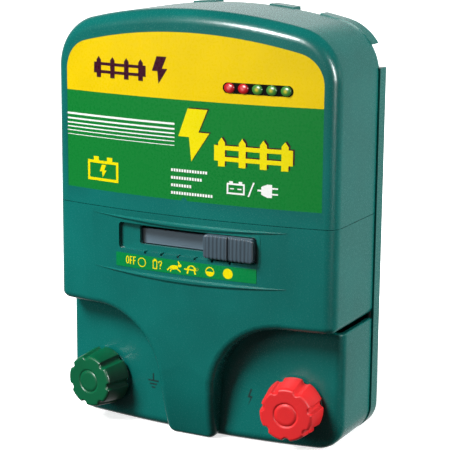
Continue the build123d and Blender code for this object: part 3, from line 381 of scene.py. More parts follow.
def label_film():
    """The label's two printed fields: yellow above, green below."""
    material = printed("label_film", YELLOW)
    space = add_node(material, "TexCoord")
    split = add_node(material, "SeparateXYZ")
    link(material, space.outputs["Object"], split.inputs[0])
    above = add_node(material, "MapRange", From_Min=LABEL_SPLIT_Z - SPLIT_HALF,
                     From_Max=LABEL_SPLIT_Z + SPLIT_HALF)
    link(material, split.outputs["Z"], above.inputs["Value"])
    ink = shader_of(material).inputs["Base Color"].links[0].from_socket
    fields = mix_colour(material, above.outputs["Result"], LABEL_GREEN, ink)
    link(material, fields, shader_of(material).inputs["Base Color"])
    return material


SMEAR_SCALE = 300
SMEAR_DEPTH = 0.000005


def glass_tube(name):
    """Clear glass with a faint smear."""
    material = new_material(name, (0.9, 0.95, 0.95), 0.05, Transmission_Weight=0.9, IOR=1.45)
    smear = noise(material, object_space(material), SMEAR_SCALE)
    roughness_range(material, smear, 0.02, 0.12)
    bump(material, smear, SMEAR_DEPTH)
    return material


# one finish for every material slot of the CAD record
FINISHES = {
    "teal_plastic": moulded("teal_plastic", TEAL, 0.25, depth=0.000008, wear=0.12),
    "seal_rubber": moulded("seal_rubber", (0.012, 0.014, 0.014), 0.75, grain=900, depth=0.00003),
    "front_label": label_film(),
    "control_label": printed("strip_film", (0.0, 0.205, 0.049)),
    "rating_plate": metal("rating_plate", (0.62, 0.63, 0.62), 0.38, stretch=(0.05, 1, 1), cloud=0.04),
    "window_black": moulded("window_black", (0.004, 0.004, 0.004), 0.14, grain=500, depth=0.000004),
    "red_lens": moulded("red_lens_plain", (0.5, 0.01, 0.02), 0.15, depth=0.000004),
    "green_lens": moulded("green_lens_plain", (0.05, 0.35, 0.05), 0.15, depth=0.000004),
    "circuit_board": circuit_board("circuit_board"),
    "cable_grey": banded("cable_grey", (0.3, 0.3, 0.32), 0.5, "X", 390),
    "switch_black": moulded("switch_black", (0.014, 0.014, 0.016), 0.45),
    "slider_grey": moulded("slider_grey", (0.048, 0.076, 0.098), 0.36, grain=2200, depth=0.00001,
                           wear=0.35),
    "earth_green": moulded("knob_green", (0.0, 0.096, 0.036), 0.36, grain=900, depth=0.00001,
                           wear=0.1),
    "fence_red": moulded("knob_red", (0.64, 0.018, 0.020), 0.40, grain=900, depth=0.00001, wear=0.1,
                          Specular_IOR_Level=0.3),
    "brass": metal("brass", (0.72, 0.50, 0.18), 0.28, stretch=(1, 1, 0.1)),
    "zinc_steel": metal("zinc_steel", (0.60, 0.61, 0.62), 0.32, stretch=(0.1, 1, 1)),
    "core_steel": banded("core_steel", (0.14, 0.14, 0.15), 0.5, "Y", 600, metallic=0.8),
    "bobbin_plastic": moulded("bobbin_plastic", (0.04, 0.04, 0.042), 0.5),
    "copper_wire": banded("copper_wire", (0.62, 0.22, 0.08), 0.3, "Z", 500, metallic=0.9),
    "capacitor_yellow": moulded("capacitor_yellow", (0.72, 0.47, 0.04), 0.35, grain=400),
    "capacitor_sleeve": moulded("capacitor_sleeve", (0.02, 0.02, 0.06), 0.3, grain=400),
    "heat_sink": metal("heat_sink", (0.5, 0.5, 0.52), 0.35, stretch=(1, 1, 0.05)),
    "fuse_glass": glass_tube("fuse_glass"),
    "varistor_blue": moulded("varistor_blue", (0.04, 0.14, 0.38), 0.4, grain=600),
    "lead_red": moulded("lead_red", (0.45, 0.015, 0.02), 0.45, grain=600),
    "lead_green": moulded("lead_green", (0.015, 0.22, 0.05), 0.45, grain=600),
    "lead_black": moulded("lead_black", (0.015, 0.015, 0.015), 0.45, grain=600),
}
PRINT_WHITE = printed("print_white", (0.88, 0.88, 0.86))
PRINT_YELLOW = printed("print_yellow", (0.80, 0.68, 0.0))
PRINT_MAROON = printed("print_maroon", (0.042, 0.004, 0.016))
# dark teal for the signs moulded into the bay floors: painted shade of their relief, which is the floor's own teal
# plastic
SIGN_PAINTED_SHADE = moulded("sign_relief_painted_shade", (0.0, 0.016, 0.013), 0.5, depth=0.00001)

for subpart in frame["record"]["subparts"]:
    node = frame["nodes"][subpart["node"]]
    for place in node.material_slots:
        place.material = FINISHES[subpart["material_slot"]]
# the rail gets a lighter grey than the slider's: painted light that lifts it out of the pocket's shade
RAIL_GREY_PAINTED_LIGHT = moulded("rail_grey_painted_light", (0.100, 0.150, 0.190), 0.42, grain=2200, depth=0.00001)
frame["nodes"]["selector_rail"].material_slots[0].material = RAIL_GREY_PAINTED_LIGHT


# ------------------------------------------------------------------ pieces
def new_piece(name, bm, material, body, smooth=True):
    """A finished piece from a bmesh, riding a body and using one material."""
    bmesh.ops.recalc_face_normals(bm, faces=bm.faces)
    mesh = bpy.data.meshes.new(name)
    bm.to_mesh(mesh)
    bm.free()
    for polygon in mesh.polygons:
        polygon.use_smooth = smooth
    mesh.materials.append(material)
    piece = bpy.data.objects.new(name, mesh)
    bpy.context.scene.collection.objects.link(piece)
    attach(piece, body)
    return piece


# The front of the case bows round an upright axis behind it.  Prints are cut into upright strips
# of STRIP_WIDTH, so that each one follows the bow.
BOW_RADIUS = 0.438
BOW_CENTRE_Y = 0.405
BAY_DEPTH = 0.0134
STRIP_WIDTH = 0.002


def bow_y(x, setback=0.0):
    """Y of the bowed front at x, or of a surface parallel to it that lies deeper."""
    return BOW_CENTRE_Y - math.sqrt((BOW_RADIUS - setback) ** 2 - x * x)


def print_on_front(name, outlines, material, setback=0.00006, thickness=0.00007):
    """Flat outlines in x and z (mm), wrapped as one thin sheet on the bowed front.

    An outline inside another one is a hole in it."""
    bm = bmesh.new()
    for outline in outlines:
        corners = [bm.verts.new((x * MM, 0, z * MM)) for x, z in outline]
        for first, second in zip(corners, corners[1:] + corners[:1]):
            bm.edges.new((first, second))
    bmesh.ops.triangle_fill(bm, use_beauty=True, edges=bm.edges, normal=(0, -1, 0))
    low = min(v.co.x for v in bm.verts)
    high = max(v.co.x for v in bm.verts)
    cut = low + STRIP_WIDTH
    while cut < high:
        whole = bm.verts[:] + bm.edges[:] + bm.faces[:]
        bmesh.ops.bisect_plane(bm, geom=whole, plane_co=(cut, 0, 0), plane_no=(1, 0, 0))
        cut += STRIP_WIDTH
    for face in bm.faces:
        face.normal_update()
        if face.normal.y > 0:
            face.normal_flip()
    grown = bmesh.ops.extrude_face_region(bm, geom=bm.faces[:], use_keep_orig=True)
    for vert in [item for item in grown["geom"] if isinstance(item, bmesh.types.BMVert)]:
        vert.co.y = -thickness
    for vert in bm.verts:
        vert.co.y += bow_y(vert.co.x, setback)
    return new_piece(name, bm, material, "case", smooth=False)


def ring_points(x, z, radius, count=36, start=0.0, sweep=360.0):
    """Points along a circle or an arc."""
    steps = count if sweep < 360 else count - 1
    return [
        (x + radius * math.cos(math.radians(start + sweep * k / count)),
         z + radius * math.sin(math.radians(start + sweep * k / count)))
        for k in range(steps + 1)
    ]


def ellipse(x, z, half_x, half_z, tilt=0.0, count=28):
    """Points along an ellipse, turned by tilt degrees."""
    turn = math.radians(tilt)
    points = []
    for k in range(count):
        a = 2 * math.pi * k / count
        u, v = half_x * math.cos(a), half_z * math.sin(a)
        points.append((x + u * math.cos(turn) - v * math.sin(turn),
                       z + u * math.sin(turn) + v * math.cos(turn)))
    return points


def block(x0, z0, x1, z1):
    """An upright rectangle between two corners."""
    return [(x0, z0), (x1, z0), (x1, z1), (x0, z1)]


def stroke(x0, z0, x1, z1, width):
    """A straight bar between two points."""
    along = Vector((x1 - x0, z1 - z0)).normalized() * width / 2
    return [(x0 + along.y, z0 - along.x), (x1 + along.y, z1 - along.x),
            (x1 - along.y, z1 + along.x), (x0 - along.y, z0 + along.x)]


def moved(outlines, dx, dz, scale=1.0):
    """Outlines scaled about the origin and then shifted."""
    return [[(x * scale + dx, z * scale + dz) for x, z in outline] for outline in outlines]


def bolt(x, z, height):
    """A lightning bolt, height tall, standing on its tip at (x, z)."""
    shape = [(0.02, 0.0), (0.40, 0.56), (0.17, 0.56), (0.36, 1.0), (-0.06, 1.0),
             (-0.26, 0.46), (-0.03, 0.46)]
    return [(x + a * height, z + b * height) for a, b in shape]


# ------------------------------------------------------------------ front label
LAYER_LOW = 0.00004
LAYER_HIGH = 0.00008
SHADOW = (0.9, 0.65)

# (height of the middle, width) of each white stripe
STRIPES = [(171.4, 1.05), (168.75, 0.85), (166.4, 0.70), (164.3, 0.58), (162.25, 0.45), (160.1, 0.34)]
STRIPE_LEFT, STRIPE_RIGHT = -75.5, -5.8
print_on_front(
    "label_stripes",
    [block(STRIPE_LEFT, z - width / 2, STRIPE_RIGHT, z + width / 2) for z, width in STRIPES],
    PRINT_WHITE, thickness=LAYER_LOW,
)


def shadowed_print(name, outlines):
    """Yellow shapes over a maroon copy of themselves, shifted up and to the right."""
    print_on_front(f"{name}_shadow", moved(outlines, *SHADOW), PRINT_MAROON,
                   thickness=LAYER_LOW)
    print_on_front(name, outlines, PRINT_YELLOW, thickness=LAYER_HIGH)


# how far the rails run past the middle of the end posts, and how tall a post's point is,
# both in half widths of a post
RAIL_OVERHANG = 2.2
POST_POINT = 1.3


def fence_outline(posts, foot_z, top_z, half_post, rails, rail_half):
    """One closed outline of pointed posts joined by rails, and the windows between them."""
    left, right = posts[0] - half_post * RAIL_OVERHANG, posts[-1] + half_post * RAIL_OVERHANG
    peak = half_post * POST_POINT
    top, bottom = [], []
    rail_top, rail_foot = rails[-1] + rail_half, rails[0] - rail_half
    for post in posts:
        top += [(post - half_post, rail_top), (post - half_post, top_z - peak), (post, top_z),
                (post + half_post, top_z - peak), (post + half_post, rail_top)]
        bottom += [(post - half_post, rail_foot), (post - half_post, foot_z),
                   (post + half_post, foot_z), (post + half_post, rail_foot)]
    outer = [(left, rail_foot), *bottom, (right, rail_foot), (right, rail_top), *top[::-1],
             (left, rail_top)]
    windows = [
        block(a + half_post, rails[0] + rail_half, b - half_post, rails[1] - rail_half)
        for a, b in zip(posts, posts[1:])
    ]
    return [outer, *windows]


shadowed_print("label_bolt", [bolt(3.6, 152.6, 27.4)])
shadowed_print("label_fence", fence_outline(
    posts=[21.5, 33.0, 44.5, 56.0], foot_z=151.4, top_z=166.4, half_post=1.9,
    rails=(155.4, 161.2), rail_half=1.15,
))
EMBLEM_FENCE = fence_outline(
    posts=[-53.5, -44.5, -35.5, -26.5], foot_z=192.3, top_z=203.6, half_post=1.45,
    rails=(195.4, 199.6), rail_half=0.8,
)
print_on_front("label_emblem", EMBLEM_FENCE, PRINT_MAROON)
print_on_front("label_emblem_bolt", [bolt(-15.8, 191.6, 14.2)], PRINT_MAROON)
SMALL_BATTERY = [
    [(-61.5, 136.5), (-41.0, 136.5), (-41.0, 147.5), (-45.0, 147.5), (-45.0, 149.6), (-48.5, 149.6),
     (-48.5, 147.5), (-54.0, 147.5), (-54.0, 149.6), (-57.5, 149.6), (-57.5, 147.5), (-61.5, 147.5)],
    block(-60.0, 138.0, -42.5, 146.0),
]
print_on_front("label_small_battery", SMALL_BATTERY, PRINT_YELLOW)
print_on_front("label_small_bolt", [bolt(-51.6, 138.6, 6.8)], PRINT_YELLOW)

# battery, stroke and plug, as plain signs for what feeds the unit
BATTERY_SIGN = [
    [(24.6, 137.4), (34.6, 137.4), (34.6, 143.2), (33.2, 143.2), (33.2, 144.2), (31.2, 144.2),
     (31.2, 143.2), (28.0, 143.2), (28.0, 144.2), (26.0, 144.2), (26.0, 143.2), (24.6, 143.2)],
    block(25.5, 138.3, 33.7, 142.3),
    block(26.4, 140.0, 28.6, 140.6),
    block(30.6, 140.0, 32.8, 140.6),
]
PLUG_SIGN = [
    [(43.6, 138.6), (46.8, 137.2), (49.4, 137.2), (49.4, 138.7), (52.6, 138.7), (52.6, 139.5),
     (49.4, 139.5), (49.4, 141.7), (52.6, 141.7), (52.6, 142.5), (49.4, 142.5), (49.4, 144.0),
     (46.8, 144.0), (43.6, 142.6), (43.6, 141.1), (41.6, 141.1), (41.6, 140.1), (43.6, 140.1)],
]
OBLIQUE = stroke(36.6, 136.8, 39.6, 144.4, 0.8)
print_on_front("label_supply_signs", [*BATTERY_SIGN, OBLIQUE, *PLUG_SIGN], PRINT_WHITE)

# four rows of small plain blocks: (height of the middle, number of blocks)
ROWS = [(147.2, 14), (143.2, 12), (139.2, 8), (135.2, 16)]
ROW_START_X = -7.8
BLOCK_PITCH = 1.55
BLOCK_WIDTH = 1.05
BLOCK_HALF_HEIGHT = 0.75
ROW_BLOCKS = [
    block(ROW_START_X + k * BLOCK_PITCH, z - BLOCK_HALF_HEIGHT,
          ROW_START_X + BLOCK_WIDTH + k * BLOCK_PITCH, z + BLOCK_HALF_HEIGHT)
    for z, count in ROWS for k in range(count)
]
print_on_front("label_rows", ROW_BLOCKS, PRINT_WHITE)
NOTCH = [(-1.7, 131.2), (1.7, 131.2), (1.45, 132.1), (0.85, 132.8), (0.0, 133.1), (-0.85, 132.8),
         (-1.45, 132.1)]
print_on_front("label_notch", [NOTCH], FINISHES["teal_plastic"])

# ------------------------------------------------------------------ selector strip
STRIP_MID_Z = 95.25
STRIP_SETBACK = -0.00014
LETTER_O = [ellipse(-35.0, STRIP_MID_Z + 0.3, 0.98, 2.05), ellipse(-35.0, STRIP_MID_Z + 0.3, 0.45, 1.5)]


def letter_f(x):
    """An upright F whose stem starts at x."""
    low, high = STRIP_MID_Z - 1.75, STRIP_MID_Z + 2.35
    return [(x, low), (x + 0.55, low), (x + 0.55, low + 1.8), (x + 1.35, low + 1.8),
            (x + 1.35, low + 2.3), (x + 0.55, low + 2.3), (x + 0.55, high - 0.5),
            (x + 1.6, high - 0.5), (x + 1.6, high), (x, high)]


QUERY = [
    ring_points(-14.5, STRIP_MID_Z + 1.1, 1.05, 14, start=200, sweep=-245)
    + [(-14.25, STRIP_MID_Z - 0.9), (-14.75, STRIP_MID_Z - 0.9), (-14.75, STRIP_MID_Z - 0.1)]
    + ring_points(-14.5, STRIP_MID_Z + 1.1, 0.55, 14, start=-45, sweep=245),
    block(-14.8, STRIP_MID_Z - 2.0, -14.2, STRIP_MID_Z - 1.4),
]
BATTERY_ICON = [
    [(-18.8, STRIP_MID_Z - 2.4), (-16.2, STRIP_MID_Z - 2.4), (-16.2, STRIP_MID_Z + 2.0),
     (-16.8, STRIP_MID_Z + 2.0), (-16.8, STRIP_MID_Z + 2.7), (-18.2, STRIP_MID_Z + 2.7),
     (-18.2, STRIP_MID_Z + 2.0), (-18.8, STRIP_MID_Z + 2.0)],
    block(-18.3, STRIP_MID_Z - 1.9, -16.7, STRIP_MID_Z + 1.5),
]
HARE = [
    ellipse(-5.9, STRIP_MID_Z - 0.2, 2.3, 1.0, tilt=8),
    ellipse(-2.9, STRIP_MID_Z + 0.9, 0.95, 0.75, tilt=20),
    ellipse(-3.3, STRIP_MID_Z + 2.1, 0.32, 0.95, tilt=35),
    stroke(-8.0, STRIP_MID_Z - 0.5, -9.3, STRIP_MID_Z - 1.9, 0.65),
    stroke(-4.2, STRIP_MID_Z - 0.7, -2.4, STRIP_MID_Z - 1.9, 0.6),
    stroke(-6.8, STRIP_MID_Z - 0.9, -7.8, STRIP_MID_Z - 2.3, 0.55),
]
TORTOISE = [
    ring_points(4.6, STRIP_MID_Z - 0.6, 2.35, 18, sweep=180),
    ring_points(4.6, STRIP_MID_Z, 1.25, 14, sweep=180),
    stroke(6.8, STRIP_MID_Z - 0.5, 8.4, STRIP_MID_Z + 1.2, 0.7),
    stroke(3.0, STRIP_MID_Z - 0.6, 2.5, STRIP_MID_Z - 2.2, 0.75),
    stroke(6.1, STRIP_MID_Z - 0.6, 6.5, STRIP_MID_Z - 2.2, 0.75),
    stroke(2.3, STRIP_MID_Z - 0.45, 1.0, STRIP_MID_Z - 0.2, 0.5),
]
HALF = [
    ring_points(15.4, STRIP_MID_Z - 0.1, 2.55),
    ring_points(15.4, STRIP_MID_Z - 0.1, 2.05, 18, sweep=180),
]
ICONS = {
    "icon_off": [*LETTER_O, letter_f(-33.6), letter_f(-31.6)],
    "icon_empty_ring": [ring_points(-25.9, STRIP_MID_Z, 2.35), ring_points(-25.9, STRIP_MID_Z, 1.9)],
    "icon_battery_test": [*BATTERY_ICON, *QUERY],
    "icon_hare": HARE,
    "icon_tortoise": TORTOISE,
    "icon_half_disc": HALF,
    "icon_full_disc": [ring_points(25.7, STRIP_MID_Z - 0.1, 2.75)],
}
# (middle in x, enlargement about it) of the icons that are drawn larger
ICON_GROWTH = {"icon_empty_ring": (-25.9, 1.1), "icon_hare": (-5.4, 1.18), "icon_tortoise": (4.6, 1.2),
               "icon_off": (-33.0, 1.06), "icon_battery_test": (-16.4, 1.08)}
for icon, shapes in ICONS.items():
    centre_x, growth = ICON_GROWTH.get(icon, (0.0, 1.0))
    grown = moved(shapes, centre_x * (1 - growth), STRIP_MID_Z * (1 - growth), growth)
    print_on_front(icon, grown, PRINT_YELLOW, setback=STRIP_SETBACK)

# ------------------------------------------------------------------ signs on the bay floors
EARTH_X = -26.8
EARTH_SIGN = [
    block(EARTH_X - 0.4, 25.8, EARTH_X + 0.4, 29.6),
    block(EARTH_X - 3.4, 25.0, EARTH_X + 3.4, 25.8),
    block(EARTH_X - 2.3, 23.1, EARTH_X + 2.3, 23.9),
    block(EARTH_X - 1.2, 21.2, EARTH_X + 1.2, 22.0),
]
THIN_BOLT = [(31.4, 20.6), (34.0, 25.8), (32.2, 25.8), (33.7, 29.8), (32.8, 29.8), (31.0, 24.9),
             (32.9, 24.9)]
SIGN_SETBACK = BAY_DEPTH + 0.00002
# the signs' dark teal is painted shade of the moulded relief
print_on_front("earth_sign", EARTH_SIGN, SIGN_PAINTED_SHADE, setback=SIGN_SETBACK)
print_on_front("fence_sign", [THIN_BOLT], SIGN_PAINTED_SHADE, setback=SIGN_SETBACK)

# ------------------------------------------------------------------ lamps
LAMP_PITCH = 0.00762
LAMP_RADIUS = 0.00236
LENS_HALF_X = 0.0030
LENS_HALF_Z = 0.0026
LENS_RISE = 0.0011
LENS_BACK = 0.0002
LENS_PROUD = 0.0001
LENS_RINGS = 10
LENS_SIDES = 40
FLANGE_REACH = 0.0004
FLANGE_FRONT = 0.0060
FLANGE_SLOPE = 0.0001
FLANGE_BACK = 0.0070
CAD_FLANGE = 0.0005
FIRST_LAMP_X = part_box("red_lamps")[0][0] + LAMP_RADIUS + CAD_FLANGE
LAMP_Z = (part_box("red_lamps")[0][2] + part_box("red_lamps")[1][2]) / 2


def shader_math(material, operation, source, *values):
    """One sum on a pattern and the fixed values that follow it."""
    node = add_node(material, "Math")
    node.operation = operation
    link(material, source, node.inputs[0])
    for socket, value in zip(node.inputs[1:], values):
        socket.default_value = value
    return node.outputs[0]


def lens_material(name, rim, body, painted_highlight):
    """Clear moulded lens that glows, with a painted highlight: colour and glow are brightest in the middle of each
    lamp.
    """
    material = new_material(name, body, 0.30, Coat_Weight=0.1, Coat_Roughness=0.15,
                            Emission_Strength=0.35)
    where = add_node(material, "TexCoord")
    parts = add_node(material, "SeparateXYZ")
    link(material, where.outputs["Object"], parts.inputs[0])
    across = shader_math(material, "SUBTRACT", parts.outputs["X"], FIRST_LAMP_X)
    beside = shader_math(material, "WRAP", across, LAMP_PITCH / 2, -LAMP_PITCH / 2)
    above = shader_math(material, "SUBTRACT", parts.outputs["Z"], LAMP_Z)
    offset = add_node(material, "CombineXYZ")
    link(material, beside, offset.inputs["X"])
    link(material, above, offset.inputs["Z"])
    distance = add_node(material, "VectorMath")
    distance.operation = "LENGTH"
    link(material, offset.outputs[0], distance.inputs[0])
    radial = add_node(material, "MapRange", From_Max=LENS_HALF_X)
    link(material, distance.outputs["Value"], radial.inputs["Value"])
    # painted highlight: the ramp lightens the base colour and the glow towards the middle of each dome
    glow_and_highlight = ramp(material, radial.outputs["Result"], [(0.05, painted_highlight), (0.5, body), (0.85, body), (1.0, rim)])
    link(material, glow_and_highlight.outputs["Color"], shader_of(material).inputs["Base Color"])
    link(material, glow_and_highlight.outputs["Color"], shader_of(material).inputs["Emission Color"])
    return material


def lens_set(name, node_name, places, material):
    """Domed lamp bodies, one for each place, with a flange and a straight shank."""
    low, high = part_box(node_name)
    middle_z = (low[2] + high[2]) / 2
    flatten = Matrix.Diagonal((1, LENS_HALF_Z / LENS_HALF_X, 1, 1))
    bm = bmesh.new()
    for place in places:
        x = FIRST_LAMP_X + place * LAMP_PITCH
        foot = bow_y(x) - LENS_PROUD
        tip = foot - LENS_RISE
        dome = [(0.0, tip)]
        for step in range(1, LENS_RINGS + 1):
            angle = math.pi / 2 * step / LENS_RINGS
            dome.append((LENS_HALF_X * math.sin(angle), tip + LENS_RISE * (1 - math.cos(angle))))
        dome += [(LENS_HALF_X, foot + LENS_BACK), (0.0, foot + LENS_BACK)]
        upright = Matrix.Translation((x, 0, middle_z)) @ Matrix.Rotation(math.pi / 2, 4, "X")
        revolve_profile(bm, dome, upright @ flatten, LENS_SIDES)
        shank = [(0.0, foot), (LAMP_RADIUS, foot), (LAMP_RADIUS, tip + FLANGE_FRONT),
                 (LAMP_RADIUS + FLANGE_REACH, tip + FLANGE_FRONT + FLANGE_SLOPE),
                 (LAMP_RADIUS + FLANGE_REACH, tip + FLANGE_BACK), (0.0, tip + FLANGE_BACK)]
        revolve_profile(bm, shank, upright, LENS_SIDES)
    piece = new_piece(name, bm, material, "case")
    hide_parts(node_name)


def revolve_profile(bm, profile, place, sides):
    """Turns (radius, depth) points round the local Z axis; depth runs along local -Z.

    Points on the axis become a fan."""
    rings = []
    for radius, depth in profile:
        if radius == 0:
            rings.append([bm.verts.new(place @ Vector((0, 0, -depth)))])
            continue
        ring = []
        for side in range(sides):
            angle = 2 * math.pi * side / sides
            corner = Vector((radius * math.cos(angle), radius * math.sin(angle), -depth))
            ring.append(bm.verts.new(place @ corner))
        rings.append(ring)
    for near, far in zip(rings, rings[1:]):
        for side in range(sides):
            after = (side + 1) % sides
            if len(near) == 1:
                bm.faces.new((near[0], far[side], far[after]))
            elif len(far) == 1:
                bm.faces.new((near[side], far[0], near[after]))
            else:
                bm.faces.new((near[side], far[side], far[after], near[after]))


# lens finishes, with a painted highlight in the middle of each lamp
RED_GLOW_AND_HIGHLIGHT = lens_material("red_lens_glow_and_highlight", rim=(0.20, 0.001, 0.004), body=(0.36, 0.006, 0.008),
                         painted_highlight=(0.55, 0.10, 0.10))
GREEN_GLOW_AND_HIGHLIGHT = lens_material("green_lens_glow_and_highlight", rim=(0.012, 0.065, 0.012), body=(0.035, 0.16, 0.022),
                           painted_highlight=(0.42, 0.36, 0.02))
lens_set("lenses_red", "red_lamps", (0, 1), RED_GLOW_AND_HIGHLIGHT)
lens_set("lenses_green", "green_lamps", (2, 3, 4), GREEN_GLOW_AND_HIGHLIGHT)

# ------------------------------------------------------------------ slider
RIB_PITCH = 0.0023
RIB_DEPTH = 0.00050
GROOVE_DEPTH = 0.0015
GROOVE_WALL = (0.0005, 0.0008)
SLIDER_CORNER = 0.0022
SLIDER_EDGE = 0.0011
SLIDER_BACK_Y = -0.0293
COLUMN_STEP = 0.0002
EDGE_COLUMNS = [0.0, 0.00012, 0.0003, 0.0006, 0.0009]
EDGE_MARGIN = 0.0012
ROW_SHARES = [1.0, 0.985, 0.96, 0.92, 0.87, 0.8, 0.6, 0.4, 0.2]
# ribs fade in beside the groove and out towards the ends
RIB_START = (0.0009, 0.0016)
RIB_END = (0.001, 0.003)
# low and high corners of the leg's two blocks, x from the slider's middle
LEG_BLOCKS = [((-0.004, -0.0292, 0.1129), (0.004, -0.0226, 0.1142)),
              ((-0.004, -0.0238, 0.1072), (0.004, -0.0226, 0.1129))]


def smooth_step(low, high, value):
    """0 below low, 1 above high and an eased change between them."""
    t = min(1.0, max(0.0, (value - low) / (high - low)))
    return t * t * (3 - 2 * t)


def slider_knob():
    """Rounded grip with upright finger ribs on both sides of one deep middle groove."""
    low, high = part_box("selector_slider")
    half_x, half_z = (high[0] - low[0]) / 2, (high[2] - low[2]) / 2
    middle_x, middle_z = (high[0] + low[0]) / 2, (high[2] + low[2]) / 2
    face_y = low[1]
    count = int((2 * half_x - 2 * EDGE_MARGIN) / COLUMN_STEP) + 1
    inner = [-half_x + EDGE_MARGIN + COLUMN_STEP * k for k in range(count)]
    columns = [-half_x + e for e in EDGE_COLUMNS] + inner + [half_x - e for e in reversed(EDGE_COLUMNS)]
    rows = [-s for s in ROW_SHARES] + [0.0] + ROW_SHARES[::-1]
    bm = bmesh.new()
    grid = []
    for x in columns:
        into = max(0.0, abs(x) - (half_x - SLIDER_CORNER))
        reach = half_z - SLIDER_CORNER + math.sqrt(max(0.0, SLIDER_CORNER ** 2 - into ** 2))
        column = []
        for s in rows:
            z = reach * s
            inside = min(half_x - abs(x), reach - abs(z))
            short = max(0.0, SLIDER_EDGE - inside)
            rounding = SLIDER_EDGE - math.sqrt(max(0.0, SLIDER_EDGE ** 2 - short ** 2))
            ribbed = smooth_step(*RIB_START, abs(x)) * smooth_step(*RIB_END, half_x - abs(x))
            rib = RIB_DEPTH * ribbed * (1 - math.cos(2 * math.pi * x / RIB_PITCH)) / 2
            groove = GROOVE_DEPTH * (1 - smooth_step(*GROOVE_WALL, abs(x)))
            column.append(bm.verts.new((middle_x + x, face_y + rounding + rib + groove, middle_z + z)))
        grid.append(column)
    for near, far in zip(grid, grid[1:]):
        for k in range(len(rows) - 1):
            bm.faces.new((near[k], far[k], far[k + 1], near[k + 1]))
    rim = [column[0] for column in grid] + grid[-1][1:]
    rim += [column[-1] for column in reversed(grid[:-1])] + grid[0][-2:0:-1]
    back = [bm.verts.new((v.co.x, SLIDER_BACK_Y, v.co.z)) for v in rim]
    for k in range(len(rim)):
        after = (k + 1) % len(rim)
        bm.faces.new((rim[k], rim[after], back[after], back[k]))
    bm.faces.new(back)
    # leg through the slot into the carriage
    for corner_low, corner_high in LEG_BLOCKS:
        for vert in bmesh.ops.create_cube(bm, size=1.0)["verts"]:
            for axis in range(3):
                vert.co[axis] = corner_high[axis] if vert.co[axis] > 0 else corner_low[axis]
            vert.co.x += middle_x
    piece = new_piece("slider_grip", bm, FINISHES["slider_grey"], "selector")
    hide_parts("selector_slider")


slider_knob()

# ------------------------------------------------------------------ terminal knobs
KNOB_SKIRT = 0.0018
KNOB_FACE = 0.0172
KNOB_BACK_RADIUS = 0.0163
KNOB_FACE_RADIUS = 0.0142
KNOB_LOBES = 7
KNOB_SIDES = KNOB_LOBES * 48
FLUTE_RADIUS = 0.0023
FLUTE_OUT = 0.0008
# a flute opens out beyond its round bottom: how far sideways, how steeply, how soft
FLUTE_SPREAD = 1.6
FLUTE_FLARE = 2
FLUTE_BLEND = 0.0007
RIM_ROUND = 0.0014
RIM_STEPS = 8
WALL_STEPS = 8
# (height above the skirt, inset) of the small chamfer at the knob's foot
FOOT = [(0.0, 0.0004), (0.00015, 0.0001), (0.0005, 0.0)]
RECESS_RADIUS = 0.0119
RECESS_DEPTH = 0.0032
INSERT_RADIUS = 0.0060
INSERT_TOP = 0.0150
INSERT_TOP_RADIUS = 0.0008
RING_RADIUS = 0.0061
RING_HALF = 0.0007
RING_DEPTH = 0.0004
# (share of RING_HALF, share of RING_DEPTH) across the groove ring
RING_PROFILE = [(1, 0.0), (0.6, 0.6), (0.3, 1), (-0.3, 1), (-0.6, 0.6), (-1, 0.0)]
# face rings from the rim, 1, to the groove ring, FACE_INNER
FACE_SHARES = [0.97, 0.93, 0.87, 0.8, 0.72, 0.64]
FACE_INNER = 0.55
CENTRE_RADII = [0.0040, 0.0022, 0.0008]
FLUTE_PHASE = {"earth": math.radians(48.0), "fence": math.radians(14.2)}


def joint_named(name):
    """The joint of that name in the frame."""
    return next(joint for joint in frame["joints"] if joint["name"] == name)


def softened(first, second, blend):
    """The smaller of two lengths, with a rounded change from one to the other."""
    h = max(0.0, min(1.0, 0.5 + 0.5 * (second - first) / blend))
    return second + (first - second) * h - blend * h * (1 - h)


def knob_reach(height, angle):
    """Outer radius of the knob at a height above the bay floor and an angle."""
    along = (height - KNOB_SKIRT) / (KNOB_FACE - KNOB_SKIRT)
    lobe = KNOB_BACK_RADIUS + (KNOB_FACE_RADIUS - KNOB_BACK_RADIUS) * along
    spacing = 2 * math.pi / KNOB_LOBES
    turn = (angle + spacing / 2) % spacing - spacing / 2
    centre = lobe + FLUTE_OUT
    sideways = abs(centre * math.sin(turn))
    if sideways >= FLUTE_RADIUS * FLUTE_SPREAD:
        return lobe
    inner = FLUTE_RADIUS ** 2 - min(sideways, FLUTE_RADIUS) ** 2
    flute = centre * math.cos(turn) - math.sqrt(max(0.0, inner))
    flute += max(0.0, sideways - FLUTE_RADIUS) * FLUTE_FLARE
    return softened(lobe, flute, FLUTE_BLEND)


KNOB_ANGLES = [2 * math.pi * side / KNOB_SIDES for side in range(KNOB_SIDES)]


def round_ring(reach, height):
    """A plain circle of (radius, height, angle) points."""
    return [(reach, height, a) for a in KNOB_ANGLES]


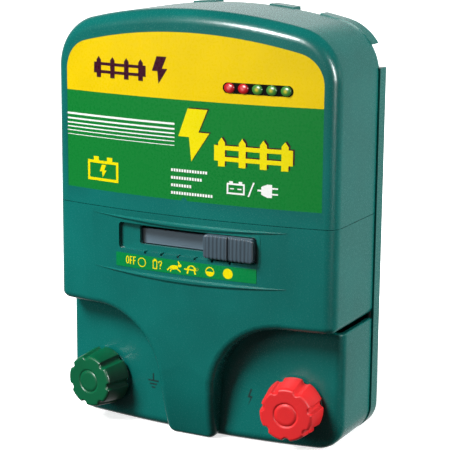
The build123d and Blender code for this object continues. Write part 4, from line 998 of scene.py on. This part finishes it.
def terminal_knob(circuit):
    """Seven-lobed knob with rounded flutes, a soft rim and a groove ring on its face."""
    joint = joint_named(f"{circuit}_turn")
    axis = Vector(joint["axis"])
    across = Vector((-axis.y, axis.x, 0.0))
    # the knob's own X lies level across it and its Z points away from the bay floor
    place = Matrix.Identity(4)
    for column, vector in enumerate((across, axis.cross(across), axis, Vector(joint["pos_m"]))):
        for row in range(3):
            place[row][column] = vector[row]
    phase = FLUTE_PHASE[circuit]
    foot_top = KNOB_SKIRT + FOOT[-1][0]
    body_top = KNOB_FACE - RIM_ROUND
    stations = [(KNOB_SKIRT + up, inset) for up, inset in FOOT]
    for step in range(1, WALL_STEPS + 1):
        stations.append((foot_top + (body_top - foot_top) * step / WALL_STEPS, 0.0))
    for step in range(1, RIM_STEPS + 1):
        angle = math.pi / 2 * step / RIM_STEPS
        stations.append((body_top + RIM_ROUND * math.sin(angle), RIM_ROUND * (1 - math.cos(angle))))
    # underside and bore, then the wall, the rim, the face and the groove ring
    under = [(INSERT_TOP_RADIUS, INSERT_TOP), (INSERT_RADIUS, INSERT_TOP), (INSERT_RADIUS, RECESS_DEPTH),
             (RECESS_RADIUS, RECESS_DEPTH), (RECESS_RADIUS, KNOB_SKIRT)]
    rings = [round_ring(reach, height) for reach, height in under]
    for height, inset in stations:
        rings.append([(knob_reach(min(height, KNOB_FACE), a) - inset, height, a) for a in KNOB_ANGLES])
    rim = rings[-1]
    for share in FACE_SHARES:
        part = (share - FACE_INNER) / (1 - FACE_INNER)
        rings.append([(RING_RADIUS + (reach - RING_RADIUS) * part, height, a) for reach, height, a in rim])
    for out, down in RING_PROFILE:
        rings.append(round_ring(RING_RADIUS + RING_HALF * out, KNOB_FACE - RING_DEPTH * down))
    for reach in CENTRE_RADII:
        rings.append(round_ring(reach, KNOB_FACE))
    bm = bmesh.new()
    made = [
        [bm.verts.new(place @ Vector((reach * math.cos(a + phase), reach * math.sin(a + phase), height)))
         for reach, height, a in ring]
        for ring in rings
    ]
    for near, far in zip(made, made[1:]):
        for side in range(KNOB_SIDES):
            after = (side + 1) % KNOB_SIDES
            bm.faces.new((near[side], near[after], far[after], far[side]))
    bm.faces.new(made[0])
    bm.faces.new(made[-1])
    slot_name = {"earth": "earth_green", "fence": "fence_red"}[circuit]
    piece = new_piece(f"{circuit}_fluted_knob", bm, FINISHES[slot_name], f"{circuit}_knob")
    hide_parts(f"{circuit}_knob")


for circuit_name in ("earth", "fence"):
    terminal_knob(circuit_name)
